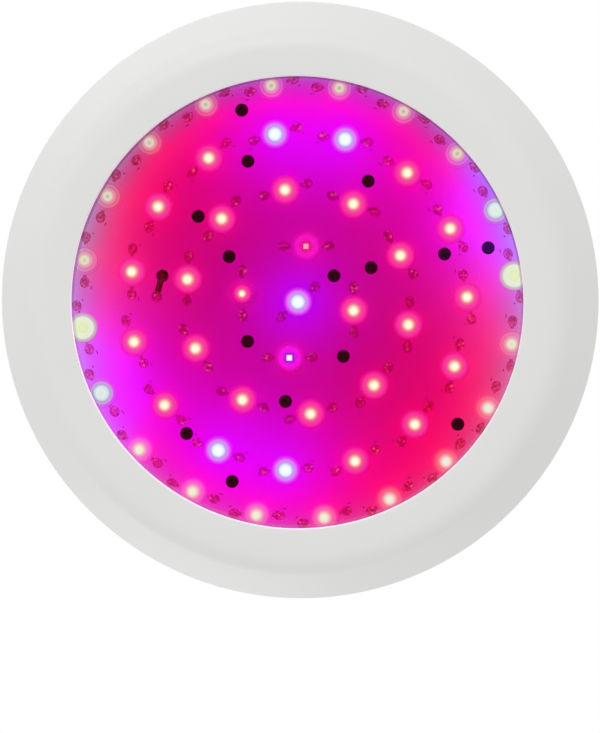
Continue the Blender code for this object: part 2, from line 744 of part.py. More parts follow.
def fan_rotor():
    """The hub cup on the stator's shaft, with seven blades."""
    low = fan_bottom + STATOR_HEIGHT + ROTOR_PLAY
    high = hub_top()
    crown = [(0, high), (HUB_RADIUS - HUB_CROWN, high), (HUB_RADIUS, high - HUB_CROWN), (HUB_RADIUS, low)]
    bore = SHAFT_RADIUS + SHAFT_PLAY
    bore_top = high - HUB_CROWN - FIT_GAP - FIT_GAP
    socket = [(bore, low), (bore, bore_top), (0, bore_top)]
    rotor = link("fan_rotor", turned(crown + socket, 20), BLACK_PLASTIC)
    angles = [360 / BLADE_COUNT * step for step in range(BLADE_COUNT)]
    join(rotor, "fan_blades", copies(blade_mesh(), spun(angles)))


def fan_guard():
    """The wire finger guard: four rings on a cross, with a screw loop at each corner."""
    loop_bottom = lamp_depth + FIT_GAP
    loop_top = loop_bottom + GUARD_LOOP_THICKNESS
    loop = turned(
        [
            (SCREW_HOLE_RADIUS, loop_bottom),
            (GUARD_LOOP_RADIUS, loop_bottom),
            (GUARD_LOOP_RADIUS, loop_top),
            (SCREW_HOLE_RADIUS, loop_top),
        ],
        8,
    )
    guard = link("fan_guard", copies(loop, at(fan_screw_places())), BRIGHT_STEEL)
    outer_ring = fan_bore - GUARD_EDGE_INSET
    ring_radii = [outer_ring - GUARD_RING_PITCH * step for step in range(GUARD_RING_COUNT)]
    arm_start = ring_radii[-1] - GUARD_WIRE_RADIUS / 2
    arm_end = fan_screw_places()[0].length - (SCREW_HOLE_RADIUS + GUARD_LOOP_RADIUS) / 2
    arm_low = loop_bottom + (GUARD_LOOP_THICKNESS - GUARD_ARM_THICKNESS) / 2
    arm_high = arm_low + GUARD_ARM_THICKNESS
    arm = box(arm_end - arm_start, GUARD_WIRE_RADIUS * 2, arm_low, arm_high)
    arm.transform(Matrix.Translation(((arm_end + arm_start) / 2, 0, 0)))
    join(guard, "guard_arms", copies(arm, spun((45, 135, 225, 315))))
    wire_z = arm_high + GUARD_WIRE_RADIUS / 2
    for number, radius in enumerate(ring_radii, 1):
        ring = ring_wire(radius, GUARD_WIRE_RADIUS, 16, 4)
        ring.transform(Matrix.Translation((0, 0, wire_z)))
        join(guard, f"guard_ring_{number}", ring)


def rear_housing():
    """The rear shell with its tongue, screw wells, vents, fan opening and flat back."""
    inner = offset(rear_line(1), REAR_WALL)
    tongue_outer = LAMP_RADIUS - BEZEL_WALL - FIT_GAP
    tongue_inner = tongue_outer - TONGUE_THICKNESS
    tongue_low = parting - TONGUE_LENGTH
    tongue = [
        (tongue_inner, inner[1][1]),
        (tongue_inner, tongue_low),
        (tongue_outer, tongue_low),
        (tongue_outer, rear_outer[0][1]),
    ]
    ring = rear_outer + [(fan_bore, lamp_depth), (fan_bore, back_inside)]
    shell = link("rear_housing", turned(ring + inner[:0:-1] + tongue), WHITE_PLASTIC)

    middle = offset(rear_outer, REAR_WALL / 2)
    below = [(0, 0), (middle[0][0], 0)] + middle + [(0, middle[-1][1])]
    space = helper("rear_space", turned(below))
    places = case_screw_places()
    posts = helper("wells", copies(round_bar(CASE_BOSS_RADIUS, well_bottom, lamp_depth, 8), at(places)))
    combine(posts, space, "INTERSECT")
    combine(shell, posts, "UNION")
    cut(shell, "well_pockets", copies(round_bar(WELL_RADIUS, well_floor, lamp_depth, 8), at(places)))
    hole = round_bar(SCREW_HOLE_RADIUS, well_bottom - CUT_PAST, well_floor + CUT_PAST, HOLE_SIDES)
    cut(shell, "well_screw_holes", copies(hole, at(places)))

    vent = prism(slot(VENT_LENGTH, VENT_WIDTH), parting + CUT_PAST, lamp_depth + CUT_PAST)
    vent.transform(Matrix.Translation((LAMP_RADIUS - VENT_EDGE_INSET - VENT_LENGTH, 0, 0)))
    group = 360 / VENT_GROUPS
    first = (group - VENT_PITCH_ANGLE * (VENTS_PER_GROUP - 1)) / 2
    angles = [
        group * turn + first + VENT_PITCH_ANGLE * step
        for turn in range(VENT_GROUPS)
        for step in range(VENTS_PER_GROUP)
    ]
    cut(shell, "vents", copies(vent, spun(angles)))

    low, high = back_inside - CUT_PAST, lamp_depth + CUT_PAST
    screw_hole = round_bar(SCREW_HOLE_RADIUS, low, high, HOLE_SIDES)
    cut(shell, "back_screw_holes", copies(screw_hole, at(fan_screw_places())))
    eye_hole = round_bar(EYE_SHANK_RADIUS + EYE_HOLE_PLAY, low, high, 10)
    cut(shell, "eye_holes", copies(eye_hole, at(eye_places())))
    play = 2 * FIT_GAP
    outline = clipped(INLET_BODY_WIDTH + play, INLET_BODY_HEIGHT + play, INLET_CORNER)
    cut(shell, "inlet_opening", copies(prism(outline, low, high), at([(0, inlet_y)])))


def clipped(size_x, size_y, corner):
    """The (x, y) outline of a mains inlet: a rectangle with the two corners on its +Y side cut off."""
    x, y = size_x / 2, size_y / 2
    return [(-x, -y), (x, -y), (x, y - corner), (x - corner, y), (corner - x, y), (-x, y - corner)]


def mains_inlet():
    """The inlet body from behind its flange, with an open socket and three pins through its floor."""
    flange_bottom = lamp_depth + FIT_GAP
    flange_top = flange_bottom + INLET_FLANGE_THICKNESS
    body_bottom = flange_bottom - INLET_BODY_DEPTH
    socket_floor = flange_top - SOCKET_DEPTH
    flange_outline = rounded(INLET_FLANGE_WIDTH, INLET_FLANGE_HEIGHT, INLET_FLANGE_ROUND, 2)
    flange = prism(flange_outline, flange_bottom, flange_top)
    inlet = link("mains_inlet", copies(flange, at([(0, inlet_y)])), BLACK_PLASTIC)
    body_outline = clipped(INLET_BODY_WIDTH, INLET_BODY_HEIGHT, INLET_CORNER)
    body = prism(body_outline, body_bottom, flange_bottom + INLET_FLANGE_THICKNESS / 2)
    join(inlet, "inlet_body", copies(body, at([(0, inlet_y)])))
    socket = prism(clipped(SOCKET_WIDTH, SOCKET_HEIGHT, SOCKET_CORNER), socket_floor, flange_top + CUT_PAST)
    cut(inlet, "inlet_socket", copies(socket, at([(0, inlet_y)])))
    pin_holes = [(x, inlet_y + y) for x, y in PIN_PLACES.values()]
    play = 2 * FIT_GAP
    pin_hole = box(PIN_THICKNESS + play, PIN_WIDTH + play, body_bottom - CUT_PAST, socket_floor + CUT_PAST)
    cut(inlet, "pin_holes", copies(pin_hole, at(pin_holes)))
    tip = flange_top - PIN_TIP_DROP
    for name, (x, y) in PIN_PLACES.items():
        blade = box(PIN_THICKNESS, PIN_WIDTH, body_bottom - PIN_TAIL, tip)
        pin = link(f"inlet_pin_{name}", blade, BRIGHT_STEEL)
        pin.location = (x, inlet_y + y, 0)
        bevel(pin, PIN_EDGE)


def eye_bolts():
    """Three eye bolts on the back, each held by a nut on the inside."""
    seat = lamp_depth + FIT_GAP
    flange_top = seat + EYE_FLANGE_HEIGHT
    body = turned(
        [
            (0, flange_top + EYE_WIRE_RADIUS),
            (EYE_SHANK_RADIUS, flange_top + EYE_WIRE_RADIUS),
            (EYE_SHANK_RADIUS, flange_top),
            (EYE_FLANGE_RADIUS, flange_top),
            (EYE_FLANGE_RADIUS, seat),
            (EYE_SHANK_RADIUS, seat),
            (EYE_SHANK_RADIUS, seat - EYE_SHANK_LENGTH),
            (0, seat - EYE_SHANK_LENGTH),
        ],
        10,
    )
    loop = ring_wire(EYE_LOOP_RADIUS, EYE_WIRE_RADIUS, 16, 6)
    loop_z = flange_top + EYE_LOOP_RADIUS + EYE_WIRE_RADIUS / 2
    loop.transform(Matrix.Translation((0, 0, loop_z)) @ Matrix.Rotation(math.pi / 2, 4, "X"))
    nut_outer = NUT_FLATS / 2 / math.cos(math.pi / 6)
    nut_top = back_inside - FIT_GAP
    nut_bore = EYE_SHANK_RADIUS + EYE_HOLE_PLAY
    nut_blank = round_bar(nut_outer, nut_top - NUT_HEIGHT, nut_top, 6)
    nut_hole = round_bar(nut_bore, nut_top - NUT_HEIGHT - CUT_PAST, nut_top + CUT_PAST, 8)
    for number, place in enumerate(eye_places(), 1):
        turn = math.atan2(place.y, place.x) + math.pi / 2
        eye = link(f"eye_bolt_{number}", body.copy(), BRIGHT_STEEL)
        eye_loop = helper(f"eye_loop_{number}", loop.copy())
        nut = link(f"eye_nut_{number}", nut_blank.copy(), BRIGHT_STEEL)
        nut_cutter = helper(f"nut_hole_{number}", nut_hole.copy())
        for piece in (eye, eye_loop, nut, nut_cutter):
            piece.location = place
            piece.rotation_euler.z = turn
        combine(eye, eye_loop, "UNION")
        combine(nut, nut_cutter, "DIFFERENCE")


def smooth_line(points, steps):
    """Points on a smooth curve through these, a fixed number to each stretch."""
    line = []
    padded = [points[0]] + points + [points[-1]]
    for before, start, end, after in zip(padded, padded[1:], padded[2:], padded[3:]):
        for step in range(steps):
            t = step / steps
            line.append(
                0.5
                * (
                    2 * start
                    + (end - before) * t
                    + (2 * before - 5 * start + 4 * end - after) * t * t
                    + (3 * start - before - 3 * end + after) * t * t * t
                )
            )
    return line + [points[-1]]


def led_wire():
    """The wire from the driver down through the heat sink and board to its solder pad."""
    hole, pad = hole_place, blob_place
    below = BOARD_DEPTH - FIT_GAP - WIRE_RADIUS
    along = (pad - hole).normalized()
    driver_side = FIT_GAP - driver_inside
    exit_z = sink_top + DRIVER_HEIGHT * 0.6
    side_y = hole.y - WIRE_DRIVER_Y
    points = [
        Vector((driver_side, side_y, exit_z)),
        Vector((driver_side + WIRE_BEND, side_y, exit_z)),
        Vector((hole.x, hole.y - WIRE_BEND, exit_z - WIRE_BEND)),
        Vector((hole.x, hole.y, sink_top)),
        Vector((hole.x, hole.y, BOARD_DEPTH + BOARD_THICKNESS)),
        Vector((hole.x, hole.y, below)) + along * WIRE_BEND / 2,
        Vector((pad.x, pad.y, below)) - along * (BLOB_RADIUS + FIT_GAP),
    ]
    line = smooth_line(points, 2)
    curve = bpy.data.curves.new("led_wire", "CURVE")
    curve.dimensions = "3D"
    curve.bevel_depth = WIRE_RADIUS
    curve.bevel_resolution = 2
    curve.use_fill_caps = True
    spline = curve.splines.new("POLY")
    spline.points.add(len(line) - 1)
    for point, place in zip(spline.points, line):
        point.co = (*place, 1)
    curve.materials.append(RED_INSULATION)
    wire = bpy.data.objects.new("led_wire", curve)
    bpy.context.scene.collection.objects.link(wire)


front_bezel()
window_stack()
led_board()
heat_sink()
drivers()
fan_frame()
fan_rotor()
fan_guard()
rear_housing()
mains_inlet()
eye_bolts()
screws()
led_wire()
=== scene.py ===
# %% [markdown]
# A round LED grow light, dressed for the camera.
#
# The lamp is a shallow white case that hangs window down. Behind a clear window lies a white circuit board
# with fifty LEDs, which bathe it in pink and violet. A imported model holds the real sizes; this lesson adds
# what makes it look real: smooth turned shells, lenses, solder, screws with a recess, and finishes made of
# nodes. It is read from top to bottom, one piece of the lamp at a time.

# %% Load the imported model
import math
from functools import cached_property

import bmesh
import bpy
from mathutils import Matrix, Vector


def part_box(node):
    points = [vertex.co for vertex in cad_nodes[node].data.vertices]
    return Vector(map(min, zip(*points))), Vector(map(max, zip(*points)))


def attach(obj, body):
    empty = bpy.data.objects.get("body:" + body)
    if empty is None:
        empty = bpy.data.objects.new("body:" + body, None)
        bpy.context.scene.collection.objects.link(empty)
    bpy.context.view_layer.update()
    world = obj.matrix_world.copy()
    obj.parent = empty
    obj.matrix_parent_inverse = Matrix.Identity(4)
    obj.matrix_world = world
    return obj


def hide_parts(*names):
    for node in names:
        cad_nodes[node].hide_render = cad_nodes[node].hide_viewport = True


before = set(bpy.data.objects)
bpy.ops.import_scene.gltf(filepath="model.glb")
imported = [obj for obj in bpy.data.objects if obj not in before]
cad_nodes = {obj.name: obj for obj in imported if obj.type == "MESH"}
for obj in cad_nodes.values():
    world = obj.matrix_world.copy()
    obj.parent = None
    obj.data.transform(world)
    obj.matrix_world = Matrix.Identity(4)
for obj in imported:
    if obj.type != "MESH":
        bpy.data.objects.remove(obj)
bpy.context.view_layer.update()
print("the packed model has", len(cad_nodes), "nodes")

# %% [markdown]
# The main sizes come first, in metres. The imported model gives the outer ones, so they are measured from it
# and not typed again. The rest repeats the drawing of the lamp, where a name says what each one is.

# %% The lamp's sizes
lamp_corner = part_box("front_bezel")[1]
LAMP_RADIUS = lamp_corner.x
PARTING = lamp_corner.z
RIM_LEVEL = PARTING / 1.03
DISC_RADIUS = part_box("board_spacer")[1].x
sink_low, sink_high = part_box("heat_sink")
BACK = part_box("rear_housing")[1].z
BOARD_THICKNESS = 0.0016
FIT_GAP = 0.0003
CUT_PAST = 0.002
BOARD_TOP = sink_low.z - FIT_GAP
BOARD_FACE = BOARD_TOP - BOARD_THICKNESS
WINDOW_LEDGE = 0.0064
WINDOW_OPENING = DISC_RADIUS - WINDOW_LEDGE
print("lamp radius", round(LAMP_RADIUS, 4), "window opening radius", round(WINDOW_OPENING, 4))


def from_below(radius, angle):
    """The place on the board at this radius and angle in degrees, as someone under the lamp sees it."""
    turn = math.radians(-angle)
    return Vector((radius * math.cos(turn), radius * math.sin(turn), 0))


def around(radius, angles):
    """The places at this radius and these angles in degrees, seen from above."""
    return [from_below(radius, -angle) for angle in angles]


# %% [markdown]
# Shader maths reads best as arithmetic. A Flow is one output socket: adding, multiplying or subtracting
# flows makes the Math nodes that do it. Nodes is a node tree; its add method makes any other node from its
# type, its settings and what its sockets take. A Finish is one material, which is such a tree too.

# %% Shader arithmetic
LOWER_SIDE_START = -0.05


def arithmetic(operation, swapped=False):
    """A method of Flow that makes one Math node."""
    def method(self, other):
        values = [other, self] if swapped else [self, other]
        return self.nodes.add("ShaderNodeMath", {"operation": operation}, values)

    return method


class Flow:
    """An output socket that can be used in arithmetic."""

    __add__ = __radd__ = arithmetic("ADD")
    __mul__ = __rmul__ = arithmetic("MULTIPLY")
    __sub__ = arithmetic("SUBTRACT")
    __rsub__ = arithmetic("SUBTRACT", swapped=True)
    __truediv__ = arithmetic("DIVIDE")
    __pow__ = arithmetic("POWER")

    def __init__(self, nodes, socket):
        self.nodes = nodes
        self.socket = socket

    def math(self, operation, *others):
        return self.nodes.add("ShaderNodeMath", {"operation": operation}, [self, *others])

    def part(self, name):
        """Another output of the same node."""
        return Flow(self.nodes, self.socket.node.outputs[name])

    def rise(self, low, high):
        """0 below low and 1 above high, with a smooth step between."""
        settings = {"interpolation_type": "SMOOTHSTEP"}
        return self.nodes.add("ShaderNodeMapRange", settings, {0: self, 1: low, 2: high, 3: 0.0, 4: 1.0})


class Nodes:
    """A node tree that grows by one node at a time."""

    def __init__(self, tree):
        self.tree = tree

    def add(self, kind, settings=(), values=(), output=0):
        node = self.tree.nodes.new(kind)
        for name, value in dict(settings).items():
            setattr(node, name, value)
        for key, value in values.items() if isinstance(values, dict) else enumerate(values):
            self.fill(node.inputs[key], value)
        return Flow(self, node.outputs[output])

    def fill(self, socket, value):
        """Links a flow to this socket, or sets a fixed value. A colour has three numbers."""
        if isinstance(value, Flow):
            self.tree.links.new(value.socket, socket)
        elif socket.type == "RGBA":
            socket.default_value = (*value, 1.0)
        else:
            socket.default_value = value

    def seen_by_camera(self):
        """1 for what the camera sees straight, in a mirror or through glass."""
        rays = self.add("ShaderNodeLightPath")
        return rays + rays.part("Is Glossy Ray") + rays.part("Is Transmission Ray")


class Finish(Nodes):
    """A material with a Principled shader, and the nodes that feed it."""

    MIX_A, MIX_B, MIX_RESULT = 6, 7, 2

    def __init__(self, name, **looks):
        self.material = bpy.data.materials.new(name)
        self.material.use_nodes = True
        super().__init__(self.material.node_tree)
        self.shader = self.tree.nodes["Principled BSDF"]
        self.feed(**looks)

    def feed(self, **looks):
        """Sets or links inputs of the shader, such as base_color. A colour of light gets its strength."""
        for words, value in looks.items():
            socket_name = words.replace("_", " ").title().replace("Ior", "IOR")
            self.fill(self.shader.inputs[socket_name], value)
        if "emission_color" in looks:
            self.shader.inputs["Emission Strength"].default_value = 1.0

    @cached_property
    def place(self):
        """The place on the lamp, in metres."""
        return self.add("ShaderNodeTexCoord", output=3)

    @cached_property
    def from_axis(self):
        """The distance from the lamp's axis."""
        x, y, _ = self.parts_of(self.place)
        return hypotenuse(x, y)

    def lower_side(self, end):
        """0 on the side of -Y, rising smoothly to 1 at this Y, which is low in the picture."""
        return self.parts_of(self.place)[1].rise(LOWER_SIDE_START, end)

    def parts_of(self, vector):
        """The X, Y and Z parts of a vector."""
        x = self.add("ShaderNodeSeparateXYZ", {}, [vector])
        return x, x.part("Y"), x.part("Z")

    def distance(self, point):
        values = {0: self.place, 1: tuple(point)}
        return self.add("ShaderNodeVectorMath", {"operation": "DISTANCE"}, values, 1)

    def colour(self, red, green, blue):
        return self.add("ShaderNodeCombineColor", {}, [red, green, blue])

    def tinted(self, light, factors):
        """This red, green and blue light as one colour, each part times its factor."""
        return self.colour(*(part * factor for part, factor in zip(light, factors)))

    def mix(self, share, first, second):
        values = {0: share, self.MIX_A: first, self.MIX_B: second}
        return self.add("ShaderNodeMix", {"data_type": "RGBA"}, values, self.MIX_RESULT)

    def noise(self, size, detail=3.0):
        """Cloudy noise between 0 and 1 with features of about this size in metres."""
        values = {"Vector": self.place, "Scale": 1.0 / size, "Detail": detail}
        return self.add("ShaderNodeTexNoise", {}, values)

    def bump(self, height, depth, strength=0.5):
        """A height between 0 and 1 as a bump this many metres deep."""
        values = {"Strength": strength, "Distance": depth, "Height": height}
        self.feed(normal=self.add("ShaderNodeBump", {}, values))


def hypotenuse(x, y):
    return (x * x + y * y) ** 0.5


def mottled(name, size, dark, light, roughness, spread, detail=3.0, grain=(), **looks):
    """A finish that is nowhere quite even: soft noise varies its tone and roughness, and grain bumps it."""
    finish = Finish(name, **looks)
    cloud = finish.noise(size, detail)
    finish.tone = finish.mix(cloud, dark, light)
    roughness = roughness + cloud * spread
    if grain:
        grain_size, grain_spread, depth = grain
        speckle = finish.noise(grain_size, 2.0)
        roughness = roughness + speckle * grain_spread
        finish.bump(speckle, depth)
    finish.feed(base_color=finish.tone, roughness=roughness)
    return finish


# %% [markdown]
# The camera looks up at the window from below, a little from the right and from above in the picture, with
# the -Y side of the lamp at the top. It stands far off with a long lens, so the rim and the window keep
# their true proportion. The shift slides the lamp up in the frame without tilting the camera.

# %% Camera
IMAGE_HEIGHT_PX = 733
FRAME_CENTRE_PX = Vector((300.0, 366.5))
LAMP_CENTRE_PX = Vector((299.65, 300.4))
LAMP_RADIUS_PX = 298.4
CAMERA_DISTANCE = 2.2
SEEN_FROM_RIGHT = math.radians(3.0)
SEEN_FROM_TOP = math.radians(2.6)
SENSOR_HEIGHT_MM = 36.0


def placed(name, data):
    """A new object of this data in the scene."""
    obj = bpy.data.objects.new(name, data)
    bpy.context.scene.collection.objects.link(obj)
    return obj


rim_centre = Vector((0, 0, RIM_LEVEL))
towards_lens = Vector((math.tan(SEEN_FROM_RIGHT), -math.tan(SEEN_FROM_TOP), -1)).normalized()
lens_right = Vector((0, -1, 0)).cross(towards_lens).normalized()
lens_up = towards_lens.cross(lens_right)

camera_data = bpy.data.cameras.new("camera")
camera = placed("camera", camera_data)
bpy.context.scene.camera = camera
turn = Matrix((lens_right, lens_up, towards_lens)).transposed().to_4x4()
camera.matrix_world = Matrix.Translation(rim_centre + towards_lens * CAMERA_DISTANCE) @ turn
focal_px = LAMP_RADIUS_PX / LAMP_RADIUS * CAMERA_DISTANCE
camera_data.lens = focal_px * SENSOR_HEIGHT_MM / IMAGE_HEIGHT_PX
camera_data.sensor_width = SENSOR_HEIGHT_MM
off_centre = LAMP_CENTRE_PX - FRAME_CENTRE_PX
camera_data.shift_x = -off_centre.x / IMAGE_HEIGHT_PX
camera_data.shift_y = off_centre.y / IMAGE_HEIGHT_PX
camera_data.clip_end = 20.0
print("lens", round(camera_data.lens, 1), "mm")

# %% [markdown]
# The studio is plain: a white world, three large soft lamps that make the top of the ring a little brighter
# than its bottom, and a pale floor well below. The camera, mirrors and glass see the world as pure white,
# while it lights the lamp a little less strongly, so the white plastic keeps its shading.

# %% World, lamps and floor
AMBIENT = 0.86
FLOOR_LEVEL = -2.9
FLOOR_SIZE = 40.0
FLOOR_GLOW = 0.6
SOFT_LAMPS = (
    ("key_lamp", (-0.7, -2.2, -2.0), 1.6, 19.0),
    ("top_lamp", (-0.9, -1.4, 2.2), 1.6, 18.0),
    ("back_lamp", (-0.9, 2.1, 1.2), 1.8, 10.0),
)

world = bpy.data.worlds.new("white_studio")
bpy.context.scene.world = world
world.use_nodes = True
sky = Nodes(world.node_tree)
level = {"Value": sky.seen_by_camera(), "To Min": AMBIENT, "To Max": 1.0}
background = sky.tree.nodes["Background"]
sky.fill(background.inputs["Strength"], sky.add("ShaderNodeMapRange", {}, level))
sky.fill(background.inputs["Color"], (1.0, 1.0, 1.0))

for name, place, size, watts in SOFT_LAMPS:
    light = bpy.data.lights.new(name, "AREA")
    light.size = size
    light.energy = watts
    lamp = placed(name, light)
    lamp.location = place
    lamp.rotation_euler = (-Vector(place)).to_track_quat("-Z", "Y").to_euler()

floor_finish = Finish("pale_floor", base_color=(0.9, 0.9, 0.9), roughness=0.8)
white = floor_finish.add("ShaderNodeEmission", {}, {"Color": (1, 1, 1), "Strength": 1.0})
matt = Flow(floor_finish, floor_finish.shader.outputs[0])
glow = floor_finish.seen_by_camera() * FLOOR_GLOW
blend = floor_finish.add("ShaderNodeMixShader", {}, [glow, matt, white])
floor_finish.fill(floor_finish.tree.nodes["Material Output"].inputs["Surface"], blend)
floor_mesh = bpy.data.meshes.new("floor")
half = FLOOR_SIZE / 2
corners = [(x, y, FLOOR_LEVEL) for x, y in ((-half, -half), (half, -half), (half, half), (-half, half))]
floor_mesh.from_pydata(corners, [], [(0, 1, 2, 3)])
floor_mesh.materials.append(floor_finish.material)
placed("floor", floor_mesh)
bpy.context.scene.view_settings.view_transform = "Standard"
print("stage ready, floor at", FLOOR_LEVEL)

# %% [markdown]
# Most of the lamp is turned, pulled or bored, so a few mesh tools make nearly all of it: an outline turned
# round the lamp's axis, a flat outline pulled up, many copies of a mesh, and exact cuts and joins that are
# applied at once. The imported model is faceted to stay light; here the same outlines get many more steps.

# %% Mesh tools
ROUND_STEPS = 160
SHARP_ANGLE = 35
MERGE = 1e-6


def to_mesh(bm):
    """The mesh of this bmesh, with its faces pointing out."""
    bmesh.ops.remove_doubles(bm, verts=bm.verts, dist=MERGE)
    bmesh.ops.recalc_face_normals(bm, faces=bm.faces)
    mesh = bpy.data.meshes.new("shape")
    bm.to_mesh(mesh)
    bm.free()
    return mesh


def turned(profile, steps=ROUND_STEPS):
    """A (radius, height) outline turned round Z: a ring, or a solid where it ends on the axis."""
    bm = bmesh.new()
    points = [bm.verts.new((radius, 0, height)) for radius, height in profile]
    solid = profile[0][0] == 0 and profile[-1][0] == 0
    ends = points[1:] if solid else points[1:] + points[:1]
    edges = [bm.edges.new(pair) for pair in zip(points, ends)]
    bmesh.ops.spin(bm, geom=points + edges, cent=(0, 0, 0), axis=(0, 0, 1), angle=math.tau, steps=steps)
    return to_mesh(bm)


def round_bar(radius, bottom, top, steps=24):
    return turned([(0, bottom), (radius, bottom), (radius, top), (0, top)], steps)


def prism(outline, bottom, top):
    """A flat (x, y) outline pulled up along Z."""
    bm = bmesh.new()
    face = bm.faces.new([bm.verts.new((x, y, bottom)) for x, y in outline])
    pulled = bmesh.ops.extrude_face_region(bm, geom=[face])["geom"]
    lifted = [item for item in pulled if isinstance(item, bmesh.types.BMVert)]
    bmesh.ops.translate(bm, verts=lifted, vec=(0, 0, top - bottom))
    return to_mesh(bm)


def box(size_x, size_y, bottom, top):
    x, y = size_x / 2, size_y / 2
    return prism([(-x, -y), (x, -y), (x, y), (-x, y)], bottom, top)


def arc(centre, radius, start, end, steps):
    """Points on an arc, with its angles in radians from the first axis."""
    angles = [start + (end - start) * step / steps for step in range(steps + 1)]
    return [(centre[0] + radius * math.cos(a), centre[1] + radius * math.sin(a)) for a in angles]


def offset(line, distance):
    """A line parallel to this one, on its left, with its corners mitred."""
    points = [Vector(point) for point in line]
    runs = [(b - a).normalized() for a, b in zip(points, points[1:])]
    normals = [Vector((-run.y, run.x)) for run in runs]
    beside = []
    for place, before, after in zip(points, normals[:1] + normals, normals + normals[-1:]):
        middle = (before + after).normalized()
        beside.append(tuple(place + middle * distance / middle.dot(after)))
    return beside


def moved(mesh, matrix):
    """A copy of this mesh, moved by a matrix."""
    copy = mesh.copy()
    copy.transform(matrix)
    return copy


def joined(meshes):
    bm = bmesh.new()
    for mesh in meshes:
        bm.from_mesh(mesh)
    return to_mesh(bm)


def copies(mesh, places):
    """One mesh that holds a copy of this one at each place, given as matrices."""
    return joined([moved(mesh, place) for place in places])


def at(points, height=0.0):
    """Matrices that move a shape to each of these points."""
    return [Matrix.Translation((point[0], point[1], height)) for point in points]


def spun(angles):
    """Matrices that turn a shape about the lamp's axis by each of these angles in degrees."""
    return [Matrix.Rotation(math.radians(angle), 4, "Z") for angle in angles]


def shown(name, mesh, finish=None, sharp_angle=SHARP_ANGLE):
    """An object of this mesh in the scene, smooth except across its edges."""
    mesh.name = name
    if finish:
        mesh.materials.clear()
        mesh.materials.append(finish.material)
    mesh.shade_smooth()
    mesh.set_sharp_from_angle(angle=math.radians(sharp_angle))
    return placed(name, mesh)


def carve(obj, other_mesh, operation="DIFFERENCE"):
    """Cuts this object by a mesh, or joins it, and applies that at once."""
    tool = shown("tool", other_mesh)
    modifier = obj.modifiers.new("carve", "BOOLEAN")
    modifier.operation = operation
    modifier.solver = "EXACT"
    modifier.object = tool
    graph = bpy.context.evaluated_depsgraph_get()
    carved = bpy.data.meshes.new_from_object(obj.evaluated_get(graph))
    obj.modifiers.clear()
    obj.data = carved
    bpy.data.objects.remove(tool)
    obj.data.set_sharp_from_angle(angle=math.radians(SHARP_ANGLE))
    return obj


def mesh_of(obj):
    """The mesh of a helper object, which is deleted."""
    mesh = obj.data.copy()
    bpy.data.objects.remove(obj)
    return mesh


def add_posts(obj, post, places, limit):
    """Joins a post at each of these places to a piece, as far as the posts lie within the limit."""
    posts = carve(shown("posts", copies(post, places)), limit, "INTERSECT")
    carve(obj, mesh_of(posts), "UNION")


def mount(obj, slot, *replaced, body="housing"):
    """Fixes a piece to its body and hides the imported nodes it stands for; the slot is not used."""
    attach(obj, body)
    if replaced:
        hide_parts(*replaced)
    return obj


# %% [markdown]
# The case is moulded in white plastic with a fine spark texture: matt, a little waxy, and never quite even.
# Soft noise varies its roughness and tone, and a fine bump breaks up reflections. The short wall round the
# window is painted with the LEDs' light: a painted pale pink glow, most on the side of +Y, and painted shade
# on the other side.

# %% White case finish
LIP_GLOW = (0.0002, 0.0011)
LIP_EDGE = (0.0002, 0.0004)
FACE_GLOW = 0.05
WALL_GLOW, LOWER_WALL_GLOW = 0.85, 0.15


def white_case(name):
    tones = (0.742, 0.748, 0.734), (0.762, 0.762, 0.752)
    return mottled(name, 0.035, *tones, 0.36, 0.12, 2.0, (0.0007, 0.04, 0.00004), ior=1.46)


white_bezel = white_case("white_bezel_plastic")
# Painted light: a pink glow on the lip's inner edge and wall. Painted shade: a darker wall on the side of
# -Y.
inward = 1 - (white_bezel.from_axis - WINDOW_OPENING).rise(*LIP_GLOW)
wall = inward * white_bezel.parts_of(white_bezel.place)[2].rise(*LIP_EDGE)
lower_side = white_bezel.lower_side(0.04)
glow = inward * FACE_GLOW + wall * (WALL_GLOW + lower_side * LOWER_WALL_GLOW)
white_bezel.feed(
    base_color=white_bezel.mix(wall * (1 - lower_side), white_bezel.tone, (0.3515, 0.2232, 0.3515)),
    emission_color=white_bezel.mix(glow, (0, 0, 0), (0.80, 0.46, 0.68)),
)
white_shell = white_case("white_housing_plastic")

# %% [markdown]
# The front bezel is one moulded ring: a flat lip round the window, a rounded shoulder, a straight slope and
# a small round at the rim. Its outline is built from arcs and straight runs and turned round the lamp's
# axis. Inside it has a collar for window and board, and bosses for the screws.

# %% Front bezel
BEZEL_WALL = 0.0025
LIP_WIDTH = 0.0115
LIP_EDGE_ROUND = 0.0008
FRONT_SLOPE = math.radians(54)
FRONT_ROUND = 0.012
RIM_ROUND = 0.003
COLLAR_WALL = 0.0024
DISC_PLAY = 0.0005
SCREW_HOLE_RADIUS = 0.0021
CASE_BOSS_TOP = PARTING - 0.0031
CASE_BOSS_RADIUS = 0.0045
CASE_BORE_BOTTOM = 0.0157
SINK_BOSS_RADIUS = 0.0040
SINK_BORE_BOTTOM = 0.0072
LIMIT_STEPS = 96
case_screw_places = around(LAMP_RADIUS - 0.0105, range(0, 360, 60))
sink_screw_places = around(sink_high.x - 0.0045, range(45, 360, 90))


def front_line(round_steps):
    """The bezel's outer line, from the end of its flat lip to the rim."""
    flat_end = WINDOW_OPENING + LIP_WIDTH
    down = -math.pi / 2
    shoulder = arc((flat_end, FRONT_ROUND), FRONT_ROUND, down, down + FRONT_SLOPE, round_steps)
    start = shoulder[-1]
    rim_x = LAMP_RADIUS - RIM_ROUND
    end_x = rim_x + RIM_ROUND * math.sin(FRONT_SLOPE)
    end_z = start[1] + (end_x - start[0]) * math.tan(FRONT_SLOPE)
    rim_z = end_z + RIM_ROUND * math.cos(FRONT_SLOPE)
    rim = arc((rim_x, rim_z), RIM_ROUND, down + FRONT_SLOPE, 0, max(1, round_steps // 2))
    return shoulder + rim + [(LAMP_RADIUS, PARTING)]


